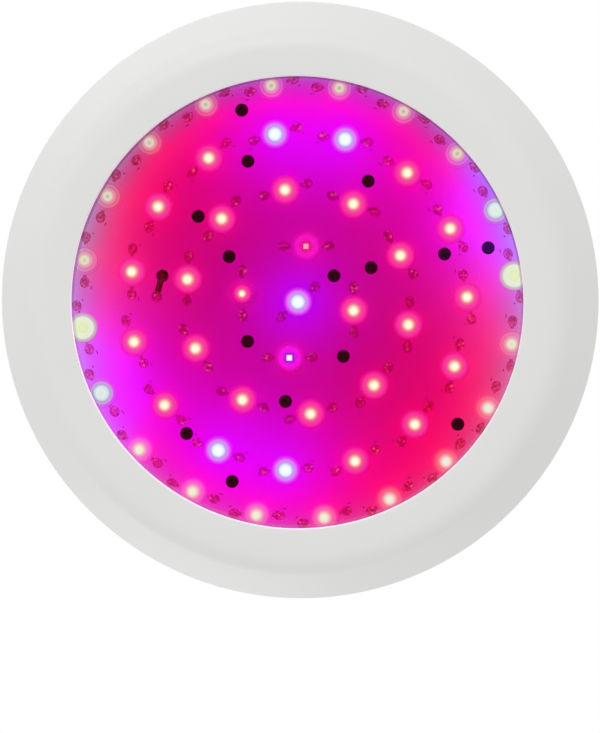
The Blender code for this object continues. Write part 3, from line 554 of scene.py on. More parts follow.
collar_inner = DISC_RADIUS + DISC_PLAY
collar_outer = collar_inner + COLLAR_WALL
collar_top = BOARD_TOP - FIT_GAP
bezel_inner = offset([(collar_outer, 0)] + front_line(3), BEZEL_WALL)
edge_centre = (WINDOW_OPENING + LIP_EDGE_ROUND, LIP_EDGE_ROUND)
bezel_profile = arc(edge_centre, LIP_EDGE_ROUND, math.pi, math.pi * 1.5, 5) + front_line(14)
bezel_profile += bezel_inner[::-1] + [(collar_outer, collar_top), (collar_inner, collar_top)]
bezel_profile += [(collar_inner, BEZEL_WALL), (WINDOW_OPENING, BEZEL_WALL)]
bezel = shown("front_bezel_shell", turned(bezel_profile), white_bezel)

above_wall = [(0, BEZEL_WALL / 2)] + offset([(collar_outer, 0)] + front_line(6), BEZEL_WALL / 2)
above_wall += [(above_wall[-1][0], BACK), (0, BACK)]
for radius, points, top, bore_bottom in (
    (SINK_BOSS_RADIUS, sink_screw_places, BOARD_TOP, SINK_BORE_BOTTOM),
    (CASE_BOSS_RADIUS, case_screw_places, CASE_BOSS_TOP, CASE_BORE_BOTTOM),
):
    add_posts(bezel, round_bar(radius, 0, top), at(points), turned(above_wall, LIMIT_STEPS))
    carve(bezel, copies(round_bar(SCREW_HOLE_RADIUS, bore_bottom, top + CUT_PAST), at(points)))
mount(bezel, "white_housing", "front_bezel")
print("bezel:", len(bezel.data.polygons), "faces")

# %% [markdown]
# The rear housing closes the lamp: a rim, a leaning wall with thirty vent slots, a rounded shoulder and a
# flat back. Six wells take the case screws, the middle is open for the fan, and the back is bored for the
# guard's screws, the eye bolts and the mains inlet. It is turned first, then bored like the real mould.

# %% Rear housing
REAR_WALL = 0.0025
REAR_SLOPE = math.radians(40)
REAR_RIM_ROUND = 0.004
REAR_BAND = 0.0015
REAR_SHOULDER_ROUND = 0.010
TONGUE_THICKNESS = 0.0025
TONGUE_LENGTH = 0.0035
WELL_RADIUS = 0.0036
WELL_BOTTOM = CASE_BOSS_TOP + FIT_GAP
WELL_FLOOR = WELL_BOTTOM + 0.0025
VENT_LENGTH = 0.019
VENT_WIDTH = 0.0038
VENT_OUTER = LAMP_RADIUS - 0.011
VENT_BOTTOM = PARTING + 0.002
VENT_ANGLES = [60 * group + 14 + 8 * number for group in range(6) for number in range(5)]
FAN_BORE = 0.038
FAN_EDGE = 0.0006
FAN_SCREW_HALF = 0.03575
EYE_HOLE_RADIUS = 0.0024
INLET_GAP = (0.0276, 0.0204)
INLET_CORNER = 0.004

back_inside = BACK - REAR_WALL


def middle_y(node):
    low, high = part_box(node)
    return (low.y + high.y) / 2


INLET_Y = middle_y("mains_inlet")
eye_places = around(middle_y("eye_bolt_1"), (90, 210, 330))
fan_screw_places = [(x * FAN_SCREW_HALF, y * FAN_SCREW_HALF) for x in (1, -1) for y in (1, -1)]


def rear_line(rim_steps, shoulder_steps):
    """The rear housing's outer line, from its rim up the wall and the shoulder to the flat back."""
    band_top = PARTING + FIT_GAP + REAR_BAND
    leaning = math.pi / 2 - REAR_SLOPE
    rim = arc((LAMP_RADIUS - REAR_RIM_ROUND, band_top), REAR_RIM_ROUND, 0, leaning, rim_steps)
    shoulder_z = BACK - REAR_SHOULDER_ROUND
    start_z = shoulder_z + REAR_SHOULDER_ROUND * math.sin(leaning)
    wall_run = (start_z - rim[-1][1]) / math.tan(REAR_SLOPE)
    shoulder_x = rim[-1][0] - wall_run - REAR_SHOULDER_ROUND * math.cos(leaning)
    centre = (shoulder_x, shoulder_z)
    shoulder = arc(centre, REAR_SHOULDER_ROUND, leaning, math.pi / 2, shoulder_steps)
    return [(LAMP_RADIUS, PARTING + FIT_GAP)] + rim + shoulder


def slot_outline(length, width, steps=6):
    """A slot with round ends that runs along X from 0."""
    radius = width / 2
    outer = arc((length - radius, 0), radius, -math.pi / 2, math.pi / 2, steps)
    return outer + arc((radius, 0), radius, math.pi / 2, math.pi * 1.5, steps)


def clipped(size_x, size_y, corner):
    """The outline of a mains inlet: a rectangle with the two corners on its +Y side cut off."""
    x, y = size_x / 2, size_y / 2
    return [(-x, -y), (x, -y), (x, y - corner), (x - corner, y), (corner - x, y), (-x, y - corner)]


rear_outer = rear_line(6, 10)
rear_inner = offset(rear_line(3, 4), REAR_WALL)
tongue_outer = LAMP_RADIUS - BEZEL_WALL - FIT_GAP
tongue_inner = tongue_outer - TONGUE_THICKNESS
tongue_low = PARTING - TONGUE_LENGTH
tongue = [(tongue_inner, rear_inner[1][1]), (tongue_inner, tongue_low)]
tongue += [(tongue_outer, tongue_low), (tongue_outer, PARTING + FIT_GAP)]
fan_edge = [(FAN_BORE + FAN_EDGE, BACK), (FAN_BORE, BACK - FAN_EDGE), (FAN_BORE, back_inside)]
shell = shown("rear_housing_shell", turned(rear_outer + fan_edge + rear_inner[:0:-1] + tongue), white_shell)

below_wall = offset(rear_outer, REAR_WALL / 2)
below_wall = [(0, 0), (below_wall[0][0], 0)] + below_wall + [(0, below_wall[-1][1])]
wells = at(case_screw_places)
add_posts(shell, round_bar(CASE_BOSS_RADIUS, WELL_BOTTOM, BACK), wells, turned(below_wall, LIMIT_STEPS))
low, high = back_inside - CUT_PAST, BACK + CUT_PAST
vent = prism(slot_outline(VENT_LENGTH, VENT_WIDTH), VENT_BOTTOM, high)
vent = moved(vent, Matrix.Translation((VENT_OUTER - VENT_LENGTH, 0, 0)))
for bore, places in (
    (round_bar(WELL_RADIUS, WELL_FLOOR, high), wells),
    (round_bar(SCREW_HOLE_RADIUS, WELL_BOTTOM - CUT_PAST, WELL_FLOOR + CUT_PAST), wells),
    (vent, spun(VENT_ANGLES)),
    (round_bar(SCREW_HOLE_RADIUS, low, high), at(fan_screw_places)),
    (round_bar(EYE_HOLE_RADIUS, low, high), at(eye_places)),
    (prism(clipped(*INLET_GAP, INLET_CORNER), low, high), at([(0, INLET_Y)])),
):
    carve(shell, copies(bore, places))
mount(shell, "white_housing", "rear_housing")
print("rear housing:", len(shell.data.polygons), "faces,", len(VENT_ANGLES), "vents")

# %% [markdown]
# The window is clear acrylic, so it hardly shows from straight below. A real glass shader would take many
# bounces; here the alpha is low, rises to a thin band of painted shadow under the lip, and rises again as a
# painted reflection where the window is seen at a slant and would mirror the room. The painted shadow fades
# on the side of +Y, as the lip's painted wall shade does.

# %% Window
WINDOW_CLEAR_ALPHA = 0.002
WINDOW_SHADOW_ALPHA = 0.30
WINDOW_MIRROR_ALPHA = 0.5
WINDOW_MOST_ALPHA = 0.85
WINDOW_SHADOW_BAND = (-0.0014, -0.0007)
WINDOW_EDGE = 0.0003
SLANT_POWER = 4

bottom, top = (corner.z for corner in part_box("window"))
window_finish = Finish("clear_acrylic_window", roughness=0.06, ior=1.49, specular_ior_level=0.3)
# Painted shadow: a dark band under the lip, in alpha and base colour, weaker on the side of +Y.
line = (window_finish.from_axis - WINDOW_OPENING).rise(*WINDOW_SHADOW_BAND)
line = line * (1 - window_finish.lower_side(0.05) * 0.50)
# Painted reflection: alpha rises where the window is seen at a slant, over a lavender base colour.
slant = window_finish.add("ShaderNodeLayerWeight", {}, {"Blend": 0.5}, 1)
mirror = slant ** SLANT_POWER * WINDOW_MIRROR_ALPHA
clear = WINDOW_CLEAR_ALPHA * (0.5 + window_finish.noise(0.022))
window_finish.feed(
    alpha=(clear + line * WINDOW_SHADOW_ALPHA + mirror).math("MINIMUM", WINDOW_MOST_ALPHA),
    base_color=window_finish.mix(line, (0.54, 0.46, 0.58), (0.10, 0.06, 0.12)),
)
flat_end = DISC_RADIUS - WINDOW_EDGE
window_profile = [(0, bottom), (flat_end, bottom), (DISC_RADIUS, bottom + WINDOW_EDGE)]
window_profile += [(DISC_RADIUS, top - WINDOW_EDGE), (flat_end, top), (0, top)]
mount(shown("window_disc", turned(window_profile), window_finish, 20), "clear_window", "window")


def dress(finish, slot, *names):
    """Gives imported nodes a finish, where their own shape is good enough."""
    for name in names:
        node = cad_nodes[name]
        node.data.materials.clear()
        node.data.materials.append(finish.material)


seal_tones = (0.60, 0.60, 0.60), (0.68, 0.68, 0.68)
dress(mottled("silicone_seal", 0.004, *seal_tones, 0.55, 0.2, specular_ior_level=0.3), "seal", "window_seal")
# The white spacer's tones are tinted pink: painted light from the LEDs.
spacer_tones = (0.70, 0.62, 0.70), (0.78, 0.70, 0.78)
dress(mottled("white_spacer_in_pink_light", 0.006, *spacer_tones, 0.5, 0.1), "white_housing", "board_spacer")
print("window", round(top - bottom, 4), "thick")

# %% [markdown]
# Fifty LEDs sit on four rings and in the middle. Most are red. Seven are blue, two are white, one is
# infrared and one ultraviolet. This table is the lamp's own layout: how many on each ring, where the first
# one is, and which of them aren't red. One red LED is dimmer, so its bright core is drawn smaller.

# %% LED layout
LED_RINGS = ((4, -8.5), (10, 24.5), (15, 1.8), (20, 7.0))
LED_EDGE_INSET = 0.0035
NOT_RED = {
    "blue": ((0, 0), (3, 3), (3, 4), (3, 10), (3, 11), (4, 1), (4, 11)),
    "white": ((4, 0), (4, 10)),
    "infrared": ((1, 1),),
    "ultraviolet": ((1, 3),),
}
DIM_LED = (1, 2)
DIM_SCALE = 1.55
LEADS_TURN = 99
MIDDLE_LEADS_ANGLE = 42

ring_radii = [WINDOW_OPENING * ring / len(LED_RINGS) for ring in range(1, len(LED_RINGS))]
ring_radii.append(WINDOW_OPENING - LED_EDGE_INSET)


class Led:
    """One LED: where it is, which way its leads run, and what light it gives."""

    def __init__(self, ring, number):
        count, first = LED_RINGS[ring - 1] if ring else (1, 0)
        angle = first + 360 / count * number
        self.place = from_below(ring_radii[ring - 1] if ring else 0, angle)
        self.leads_angle = angle + LEADS_TURN if ring else MIDDLE_LEADS_ANGLE
        kinds = [kind for kind, members in NOT_RED.items() if (ring, number) in members]
        self.kind = kinds[0] if kinds else "red"
        self.ring = ring
        self.scale = DIM_SCALE if (ring, number) == DIM_LED else 1.0

    def matrix(self, height=0.0):
        lifted = Vector((self.place.x, self.place.y, height))
        return Matrix.Translation(lifted) @ Matrix.Rotation(math.radians(-self.leads_angle), 4, "Z")


leds = [Led(0, 0)]
leds += [Led(ring, number) for ring, (count, first) in enumerate(LED_RINGS, 1) for number in range(count)]


def leds_of(kind, *rings):
    return [led for led in leds if led.kind == kind and (not rings or led.ring in rings)]


def beside_led(ring, number, outward, onward):
    """The place this far outward from an LED, and this far onward round the lamp."""
    led = Led(ring, number).place
    ray = led.normalized()
    return led + ray * outward + Vector((ray.y, -ray.x, 0)) * onward


def by_leds(members, x, y=0.0):
    """Matrices for a shape on the board beside each LED, in the directions of that LED's leads."""
    return [led.matrix(BOARD_FACE) @ Matrix.Translation((x, y, 0)) for led in members]


print({kind: len(leds_of(kind)) for kind in ("red", *NOT_RED)}, "LEDs")

# %% [markdown]
# The board is white, yet it hardly shows white: it only sees its own LEDs. Tracing that light would need
# strong little lamps and long renders, so the board's finish works it out instead. Red light is nearly even
# and a little brighter by each red LED and towards the rim. Blue light falls off with distance from each of
# the few blue and white LEDs, which turns the pink to magenta and violet there. At the rim the LEDs' light
# fades, and daylight that runs through the window's edge greys the board to lavender, most at the sides.

# %% LED board
EVEN_RED = 0.564
RED_TOWARDS_RIM = 1.25
RED_BY_LED = 0.26
RED_LOST_BY_BLUE = 1.35
RED_GLOW_REACH = 0.0065
EVEN_BLUE = 0.105
BLUE_BY_LED = 0.22
MIDDLE_BLUE = (0.71, 0.028)
INNER_BLUE = (0.63, 0.035)
RIM_BLUE = (1.33, 0.036)
WHITE_BLUE = (0.22, 0.026)
FALL_OFF_POWER = -2.37
CLOSE_BLUE_POWER = 14
DAYLIGHT, SIDE_DAYLIGHT = 0.107, 0.179
DAYLIGHT_FADE, SIDE_DAYLIGHT_FADE = 0.0034, 0.0049
DAYLIGHT_RADIUS = 0.1
DAYLIGHT_BLUE = 1.6
LEAST_GREEN = 0.0003
TINY_AREA = 0.000001
WIRE_HOLE_RADIUS = 0.0028
BOARD_SCREWS = (
    (1, 1, -0.0111, -0.0140), (1, 3, -0.0042, -0.0195), (2, 8, -0.0185, -0.0015),
    (2, 0, -0.0141, 0.0004), (1, 2, 0.0082, -0.0152), (2, 7, -0.0066, -0.0105),
    (2, 3, 0.0078, 0.0071), (2, 1, 0.0119, -0.0007), (3, 4, -0.0102, 0.0135),
    (3, 1, -0.0072, -0.0090), (3, 9, 0.0002, 0.0159), (3, 10, 0.0093, 0.0119),
    (4, 0, -0.0099, 0.0136), (4, 6, -0.0089, -0.0132), (4, 18, -0.0082, -0.0129),
)
hole_place = beside_led(2, 4, 0.0114, 0.0009)
blob_place = beside_led(2, 4, 0.0120, 0.0103)
board_screw_places = [beside_led(*screw) for screw in BOARD_SCREWS]


def near_ring(radius, angle, count, first, ring_radius):
    """The glow by the LEDs of one ring: the angle is folded so that one LED stands for them all."""
    half_step = math.pi / count
    folded = (angle + math.radians(first)).math("WRAP", half_step, -half_step)
    across = radius * folded.math("COSINE") * (2 * ring_radius)
    distance_squared = radius * radius + ring_radius ** 2 - across
    return (distance_squared * (-1 / RED_GLOW_REACH ** 2)).math("EXPONENT")


def near_led(finish, led, reach):
    """The glow by one LED, which falls off as light does from a small lamp."""
    share = finish.distance((led.place.x, led.place.y, BOARD_FACE)) * (1 / reach)
    return (share * share + 1) ** FALL_OFF_POWER


def board_light(finish):
    """The red, green and blue light on the board."""
    x, y, _ = finish.parts_of(finish.place)
    radius = finish.from_axis
    angle = y.math("ARCTAN2", x)
    lower_side = finish.lower_side(0.08)
    sideways = (x * x / (radius * radius + TINY_AREA)) ** 2
    cloud = finish.noise(0.045, detail=2.0)
    even = 0.96 + cloud * 0.08

    blue, close_blue = EVEN_BLUE, 0
    for members, (strength, reach) in (
        (leds_of("blue", 0), MIDDLE_BLUE), (leds_of("blue", 3), INNER_BLUE),
        (leds_of("blue", 4), RIM_BLUE), (leds_of("white"), WHITE_BLUE),
    ):
        glows = [near_led(finish, led, reach) for led in members]
        blue = blue + sum(glows) * strength
        if members[0].kind == "blue":
            close_blue = close_blue + sum(glow ** CLOSE_BLUE_POWER for glow in glows)
    fade = DAYLIGHT_FADE + sideways * SIDE_DAYLIGHT_FADE
    daylight = ((radius - DAYLIGHT_RADIUS) / fade).math("EXPONENT")
    daylight = daylight * (DAYLIGHT + sideways * SIDE_DAYLIGHT) * (1 - lower_side * 0.53)
    blue = (blue + close_blue * BLUE_BY_LED) * (1.96 - even) + daylight * DAYLIGHT_BLUE

    close_red = sum(
        near_ring(radius, angle, count, first, ring_radius)
        for (count, first), ring_radius in zip(LED_RINGS, ring_radii)
    )
    close_red = close_red - close_blue * RED_LOST_BY_BLUE
    shaded = 1 - radius.rise(0.0862 - sideways * 0.0052, 0.1000) * (0.528 - lower_side * 0.295)
    outward = radius.rise(0.0225, 0.200)
    red = ((EVEN_RED + outward * RED_TOWARDS_RIM) * even + close_red * RED_BY_LED) * shaded
    green = daylight * (0.8 + cloud * 0.4) + LEAST_GREEN
    return red.math("MINIMUM", 1.0), green, blue.math("MINIMUM", 1.0)


board_finish = Finish("lit_white_board", roughness=0.5, specular_ior_level=0.0)
red, green, blue = board_light(board_finish)
board_finish.feed(
    emission_color=board_finish.colour(red, green, blue),
    base_color=board_finish.mix(red, (0.004, 0.0, 0.003), (0.008, 0.0, 0.004)),
)
board = shown("led_board_plate", round_bar(DISC_RADIUS, BOARD_FACE, BOARD_TOP, ROUND_STEPS), board_finish)
low, high = BOARD_FACE - CUT_PAST, BOARD_TOP + CUT_PAST
carve(board, copies(round_bar(SCREW_HOLE_RADIUS, low, high), at(board_screw_places)))
carve(board, copies(round_bar(WIRE_HOLE_RADIUS, low, high, 32), at([hole_place])))
mount(board, "led_board", "led_board")
print("board:", len(board_screw_places), "screw holes")

# %% [markdown]
# Each LED is a round clear moulding with a dome in its middle over the chip. Lit, a red one has a nearly
# white core with a yellow fringe and a hot pink glow out to its edge; a blue one has a smaller white core
# with cyan and violet rings; the white ones are flat ivory discs. The infrared and ultraviolet chips give
# hardly any visible light, so their small square chips show. In the outer ring daylight washes the LEDs
# out: their cores look cream, with the chip as a darker dot. A place on the lens is measured from its own
# LED's axis, which each vertex remembers, and colour ramps run outwards along that distance. A stop of a
# ramp is a distance in millimetres and a colour.

# %% LED lenses
LENS_RADIUS = 0.00675
LENS_EDGE = 0.0013
LENS_CORNER = 0.0004
LENS_FACE_DROP = 0.0004
LENS_SINK = 0.0002
DOME_RADIUS = 0.0029
DOME_HEIGHT = 0.0026
DOME_STEPS = 10
LENS_STEPS = 48
LENS_RINGS = (3.95, 5.6)
LENS_RING_WIDTH = (0.10, 0.45)
LENS_RIM = (6.25, 6.5)
RIM_SHADE = (0.45, 0.5, 0.35)
RIM_SHADE_SHARE, FAR_RIM_SHADE_SHARE = 0.05, 0.30
SHADE_SIDE = (0.5, 0.87)
LENS_GAIN = 1.04
CHIP_SOFTNESS = 0.25
MM = 0.001


def quarter(radius, height, steps):
    """Points down a quarter of an oval, from its widest place to the axis below."""
    turns = [math.pi / 2 * step / steps for step in range(steps)]
    return [(radius * math.cos(turn), -height * math.sin(turn)) for turn in turns] + [(0, -height)]


def lens_profile():
    """From the board down the lens's edge, over its faintly stepped face and up its dome."""
    face = BOARD_FACE - LENS_EDGE
    dome_base = face - LENS_FACE_DROP
    foot = [(0, BOARD_FACE + LENS_SINK), (LENS_RADIUS, BOARD_FACE + LENS_SINK)]
    corner = arc((LENS_RADIUS - LENS_CORNER, face + LENS_CORNER), LENS_CORNER, 0, -math.pi / 2, 4)
    steps = [(0.0060, face), (0.0059, face - 0.0001), (0.0047, face - 0.0002), (0.0046, face - 0.00028)]
    dome = [(radius, dome_base + height) for radius, height in quarter(DOME_RADIUS, DOME_HEIGHT, DOME_STEPS)]
    return foot + corner + steps + [(DOME_RADIUS + 0.0004, dome_base)] + dome


def mark_offsets(mesh, members):
    """Stores at each vertex how far it lies from the axis of its own LED."""
    offsets = mesh.attributes.new("on_led", "FLOAT_VECTOR", "POINT")
    for vertex, entry in zip(mesh.vertices, offsets.data):
        flat = Vector((vertex.co.x, vertex.co.y, 0))
        nearest = min(members, key=lambda led: (led.place - flat).length_squared)
        entry.vector = (flat - nearest.place) * nearest.scale


class Lens(Finish):
    """The finish of one kind of LED."""

    def __init__(self, kind):
        super().__init__(f"{kind}_led_lens", roughness=0.2, specular_ior_level=0.02)
        on_led = self.add("ShaderNodeAttribute", {"attribute_name": "on_led"}, output=1)
        x, y, _ = self.parts_of(on_led)
        self.x, self.y = x / MM, y / MM
        self.radius = hypotenuse(self.x, self.y)

    def ramp(self, *stops):
        """A ramp along the distance from the LED's axis."""
        edge = LENS_RADIUS / MM
        flow = self.add("ShaderNodeValToRGB", {}, [self.radius / edge])
        elements = flow.socket.node.color_ramp.elements
        while len(elements) < len(stops):
            elements.new(1.0)
        for element, (distance, *colour) in zip(elements, stops):
            element.position = distance / edge
            element.color = (*colour, 1.0)
        return flow

    def square(self, half_width, angle):
        """1 inside a square chip of this half width in millimetres, turned by an angle in degrees."""
        cosine, sine = math.cos(math.radians(angle)), math.sin(math.radians(angle))
        along = (self.x * cosine + self.y * sine).math("ABSOLUTE")
        across = (self.y * cosine - self.x * sine).math("ABSOLUTE")
        return 1 - along.math("MAXIMUM", across).rise(half_width - CHIP_SOFTNESS, half_width + CHIP_SOFTNESS)

    def light(self, colour, clear_from, clear_to, rings=0.0, tint=0.0, haze=0.0):
        """Uses this colour as light. Between clear_from and clear_to the moulding turns clear."""
        red, green, blue = board_light(self)
        # Painted light: a daylight wash near the lens's middle, the board's light a little stronger through
        # the clear moulding, and the green and blue light of neighbouring LEDs.
        daylight_wash = (1 - self.radius.rise(2.5, 6.5)) * haze
        board = self.colour(red * LENS_GAIN, green + daylight_wash, blue * LENS_GAIN + daylight_wash * 0.3)
        nearby = self.colour(0.0, green * 0.5, blue * self.radius.rise(2.0, 4.0) * tint)
        colour = self.add("ShaderNodeVectorMath", {"operation": "ADD"}, [colour, nearby])
        colour = self.mix(self.radius.rise(clear_from, clear_to), colour, board)
        # Painted shade: dark lines along the moulding's ridges and a dark arc at its rim, darkest towards
        # +Y.
        ridge = sum(1 - (self.radius - ring).math("ABSOLUTE").rise(*LENS_RING_WIDTH) for ring in LENS_RINGS)
        away = (self.x * SHADE_SIDE[0] + self.y * SHADE_SIDE[1]).rise(0.5, 6.0)
        rim = self.radius.rise(*LENS_RIM) * (RIM_SHADE_SHARE + away * FAR_RIM_SHADE_SHARE)
        shade = self.tinted((red, green, blue), RIM_SHADE)
        self.feed(
            emission_color=self.mix(rim + ridge * rings, colour, shade),
            base_color=self.mix(self.radius.rise(1, 6), (0.01, 0.004, 0.01), (0.004, 0.0, 0.003)),
        )

    def make(self, members):
        """Shows the lenses of these LEDs as one piece."""
        mesh = copies(turned(lens_profile(), LENS_STEPS), [led.matrix() for led in members])
        mark_offsets(mesh, members)
        name = self.material.name + ("es" if len(members) > 1 else "")
        mount(shown(name, mesh, self), "led_board", "led_board")


red_lens = Lens("red")
red_lens.light(red_lens.ramp(
    (0.0, 0.95, 0.98, 0.86), (1.0, 1.0, 0.98, 0.76), (1.5, 1.0, 0.86, 0.60), (2.0, 0.98, 0.55, 0.43),
    (2.5, 0.90, 0.28, 0.28), (3.0, 0.87, 0.13, 0.22), (3.5, 0.89, 0.070, 0.23), (4.25, 0.97, 0.036, 0.27),
    (5.0, 0.98, 0.020, 0.26), (6.0, 0.88, 0.004, 0.20), (6.75, 0.80, 0.002, 0.18),
), 5.3, 7.3, rings=0.08, tint=0.3)
red_lens.make(leds_of("red", 1, 2, 3))

blue_lens = Lens("blue")
blue_lens.light(blue_lens.ramp(
    (0.0, 0.98, 0.98, 0.93), (1.0, 0.94, 0.985, 0.95), (1.5, 0.88, 0.98, 0.98), (2.0, 0.83, 0.96, 1.0),
    (2.5, 0.72, 0.80, 0.99), (3.0, 0.57, 0.50, 0.87), (3.4, 0.54, 0.34, 0.83), (4.0, 0.70, 0.29, 0.95),
    (4.5, 0.78, 0.20, 0.99), (5.0, 0.77, 0.104, 0.95), (5.5, 0.80, 0.044, 0.92), (6.75, 0.76, 0.004, 0.89),
), 5.2, 6.8, rings=0.10)
blue_lens.make(leds_of("blue", 0, 3))

BARE_CHIPS = {
    "infrared": (
        ((0.0, 0.84, 0.003, 0.34), (2.5, 0.86, 0.003, 0.36), (3.2, 0.92, 0.003, 0.47),
         (4.5, 0.92, 0.003, 0.555), (5.5, 0.83, 0.002, 0.50), (6.75, 0.60, 0.0, 0.40)),
        ((1.9, (0.68, 0.002, 0.20)), (1.1, (1.0, 0.34, 0.49))),
    ),
    "ultraviolet": (
        ((0.0, 0.70, 0.003, 0.80), (3.0, 0.83, 0.003, 0.85), (4.0, 0.95, 0.002, 0.75),
         (5.0, 0.87, 0.003, 0.62), (5.7, 0.76, 0.002, 0.52), (6.75, 0.60, 0.001, 0.43)),
        ((2.1, (0.36, 0.004, 0.54)), (1.2, (1.0, 0.86, 1.0))),
    ),
}
for kind, (stops, squares) in BARE_CHIPS.items():
    lens = Lens(kind)
    glow = lens.ramp(*stops)
    for half_width, colour in squares:
        glow = lens.mix(lens.square(half_width, -leds_of(kind)[0].leads_angle), glow, colour)
    lens.light(glow, 4.7, 6.1)
    lens.make(leds_of(kind))

rim_lens = Lens("rim_red")
washed = rim_lens.ramp(
    (0.0, 0.35, 0.38, 0.30), (0.44, 0.47, 0.49, 0.40), (0.9, 0.62, 0.60, 0.50), (1.33, 0.76, 0.63, 0.54),
    (1.8, 0.78, 0.56, 0.50), (2.2, 0.74, 0.42, 0.42), (2.7, 0.70, 0.28, 0.38), (3.5, 0.69, 0.18, 0.38),
    (6.75, 0.68, 0.07, 0.38),
)
strong = rim_lens.ramp(
    (0.0, 0.84, 0.87, 0.78), (1.0, 0.87, 0.83, 0.71), (1.5, 0.89, 0.74, 0.61), (2.0, 0.88, 0.59, 0.53),
    (2.5, 0.84, 0.43, 0.46), (3.0, 0.80, 0.28, 0.43), (3.5, 0.79, 0.18, 0.41), (6.75, 0.80, 0.05, 0.40),
)
# Painted light: cores on the side of -Y are washed out by daylight, those on the side of +Y stronger; the
# painted ridge shade is stronger on the side of -Y.
lower_side = rim_lens.lower_side(0.07)
colour = rim_lens.mix(lower_side, washed, strong)
rim_lens.light(colour, 2.2, 3.8, rings=0.36 - lower_side * 0.20, haze=0.17)
rim_lens.make(leds_of("red", 4))

rim_blue_lens = Lens("blue_led_light_on_screws")
rim_blue_lens.light(rim_blue_lens.ramp(
    (0.0, 0.72, 0.72, 0.66), (1.0, 0.76, 0.78, 0.74), (2.0, 0.74, 0.80, 0.85), (2.5, 0.66, 0.74, 0.85),
    (3.0, 0.60, 0.66, 0.78), (3.5, 0.54, 0.50, 0.74), (4.0, 0.54, 0.42, 0.72), (4.6, 0.60, 0.32, 0.72),
    (5.2, 0.70, 0.22, 0.76), (6.75, 0.72, 0.16, 0.78),
), 4.2, 6.6, rings=0.30)
rim_blue_lens.make(leds_of("blue", 4))

white_lens = Lens("white")
white_lens.light(white_lens.ramp(
    (0.0, 0.80, 0.78, 0.48), (2.2, 0.77, 0.75, 0.52), (3.5, 0.78, 0.78, 0.64), (4.7, 0.79, 0.76, 0.71),
    (5.0, 0.70, 0.62, 0.64), (5.3, 0.52, 0.42, 0.48), (5.7, 0.64, 0.40, 0.58), (6.1, 0.62, 0.27, 0.52),
    (6.75, 0.62, 0.18, 0.50),
), 5.9, 7.4)
white_lens.make(leds_of("white"))
print("lenses:", LENS_STEPS, "steps round each of", len(leds))

# %% [markdown]
# Each LED stands on two leads that end in solder mounds, about ten millimetres to either side. The solder
# is shiny; its finish is a painted reflection of the dark magenta of its surroundings, with thin painted
# highlights where it would catch the lamps. Thick red insulated wire comes up through its own hole and ends
# in a larger mound.

# %% Leads, solder and wire
PAD_REACH = 0.0100
PAD_SIZE = (0.0050, 0.0042, 0.0007)
BLOB_SIZE = (0.0046, 0.0046, 0.0026)
LEAD_WIDTH = 0.0016
LEAD_THICKNESS = 0.0003
TINNED = (0.004, 0.0, 0.001), (0.012, 0.0, 0.003)


def mound(length, width, height, steps=24, rows=6):
    """An oval mound of solder that hangs from Z = 0."""
    mesh = turned([(0, LENS_SINK), (1, LENS_SINK)] + quarter(1, height, rows), steps)
    return moved(mesh, Matrix.Diagonal((length / 2, width / 2, 1, 1)))


def lit_metal(finish, share, dim, bright):
    """The board's light on metal: dim, and bright where share is 1, as factors of red, green and blue."""
    light = board_light(finish)
    return finish.mix(share, finish.tinted(light, dim), finish.tinted(light, bright))


solder_finish = Finish("solder_in_magenta_light", roughness=0.4, specular_ior_level=0.0)
# Painted reflection: the board's light, darker on the mound's steep sides, with painted glints in streaks.
streak = solder_finish.noise(0.0011, detail=2.0)
normal = solder_finish.add("ShaderNodeNewGeometry", output="Normal")
upright = solder_finish.parts_of(normal)[2].math("ABSOLUTE").rise(0.35, 0.95)
share = upright * streak.rise(0.30, 0.62)
colour = lit_metal(solder_finish, share, (0.50, 0.2, 0.26), (0.92, 0.45, 0.60))
glint = streak.rise(0.60, 0.68) * upright
solder_finish.feed(
    emission_color=solder_finish.mix(glint * 0.6, colour, (1.0, 0.13, 0.32)),
    base_color=solder_finish.mix(streak, *TINNED),
)
solder_finish.bump(streak, 0.0002)
pads = copies(mound(*PAD_SIZE), by_leds(leds, PAD_REACH) + by_leds(leds, -PAD_REACH))
mount(shown("solder_pads", pads, solder_finish, 60), "led_board", "led_board")

# The leads also get the board's light painted on as a reflection, brighter in streaks.
lead_finish = Finish("led_leads", roughness=0.35, specular_ior_level=0.0)
streak = lead_finish.noise(0.0015)
lead_finish.feed(
    emission_color=lit_metal(lead_finish, streak.rise(0.4, 0.7), (0.62, 0.3, 0.45), (0.95, 1.0, 0.80)),
    base_color=lead_finish.mix(streak, *TINNED),
)
lead = box(PAD_REACH - LENS_RADIUS, LEAD_WIDTH, -LEAD_THICKNESS, 0.0001)
reach = (PAD_REACH + LENS_RADIUS) / 2
leads = copies(lead, by_leds(leds, reach) + by_leds(leds, -reach))
mount(shown("led_leads", leads, lead_finish), "led_board", "led_board")

blob = copies(mound(*BLOB_SIZE, 32, 10), at([blob_place], BOARD_FACE))
mount(shown("solder_blob", blob, solder_finish, 60), "led_board", "led_board")

# %% [markdown]
# The LED wire is a curve with a round section. The imported wire is a coarse version of the same line, from
# the driver through the heat sink and the board's hole to the solder. A little red light leaks up through
# that hole; it is painted, with painted shade, on the inside of the housing, in view beside the wire, and on
# the heat sink round it.

# %% LED wire
WIRE_RADIUS = 0.0014
WIRE_BEND = 0.004
WIRE_DRIVER_Y = 0.012
SINK_BASE = 0.004
LANDING_SHIFT = 0.0045
LANDING_REACH = (0.006, 0.012)
LANDING_LAYER = (0.0004, 0.0010)
DRIVER_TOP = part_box("led_driver_1")[1].z
DRIVER_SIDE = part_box("led_driver_2")[1].x


def smooth_line(points, steps):
    """Points on a smooth curve through these, a fixed number to each stretch."""
    line = []
    padded = [points[0]] + points + [points[-1]]
    for before, start, end, after in zip(padded, padded[1:], padded[2:], padded[3:]):
        for step in range(steps):
            t = step / steps
            bend = (2 * before - 5 * start + 4 * end - after) * t * t
            twist = (3 * start - before - 3 * end + after) * t * t * t
            line.append(0.5 * (2 * start + (end - before) * t + bend + twist))
    return line + [points[-1]]


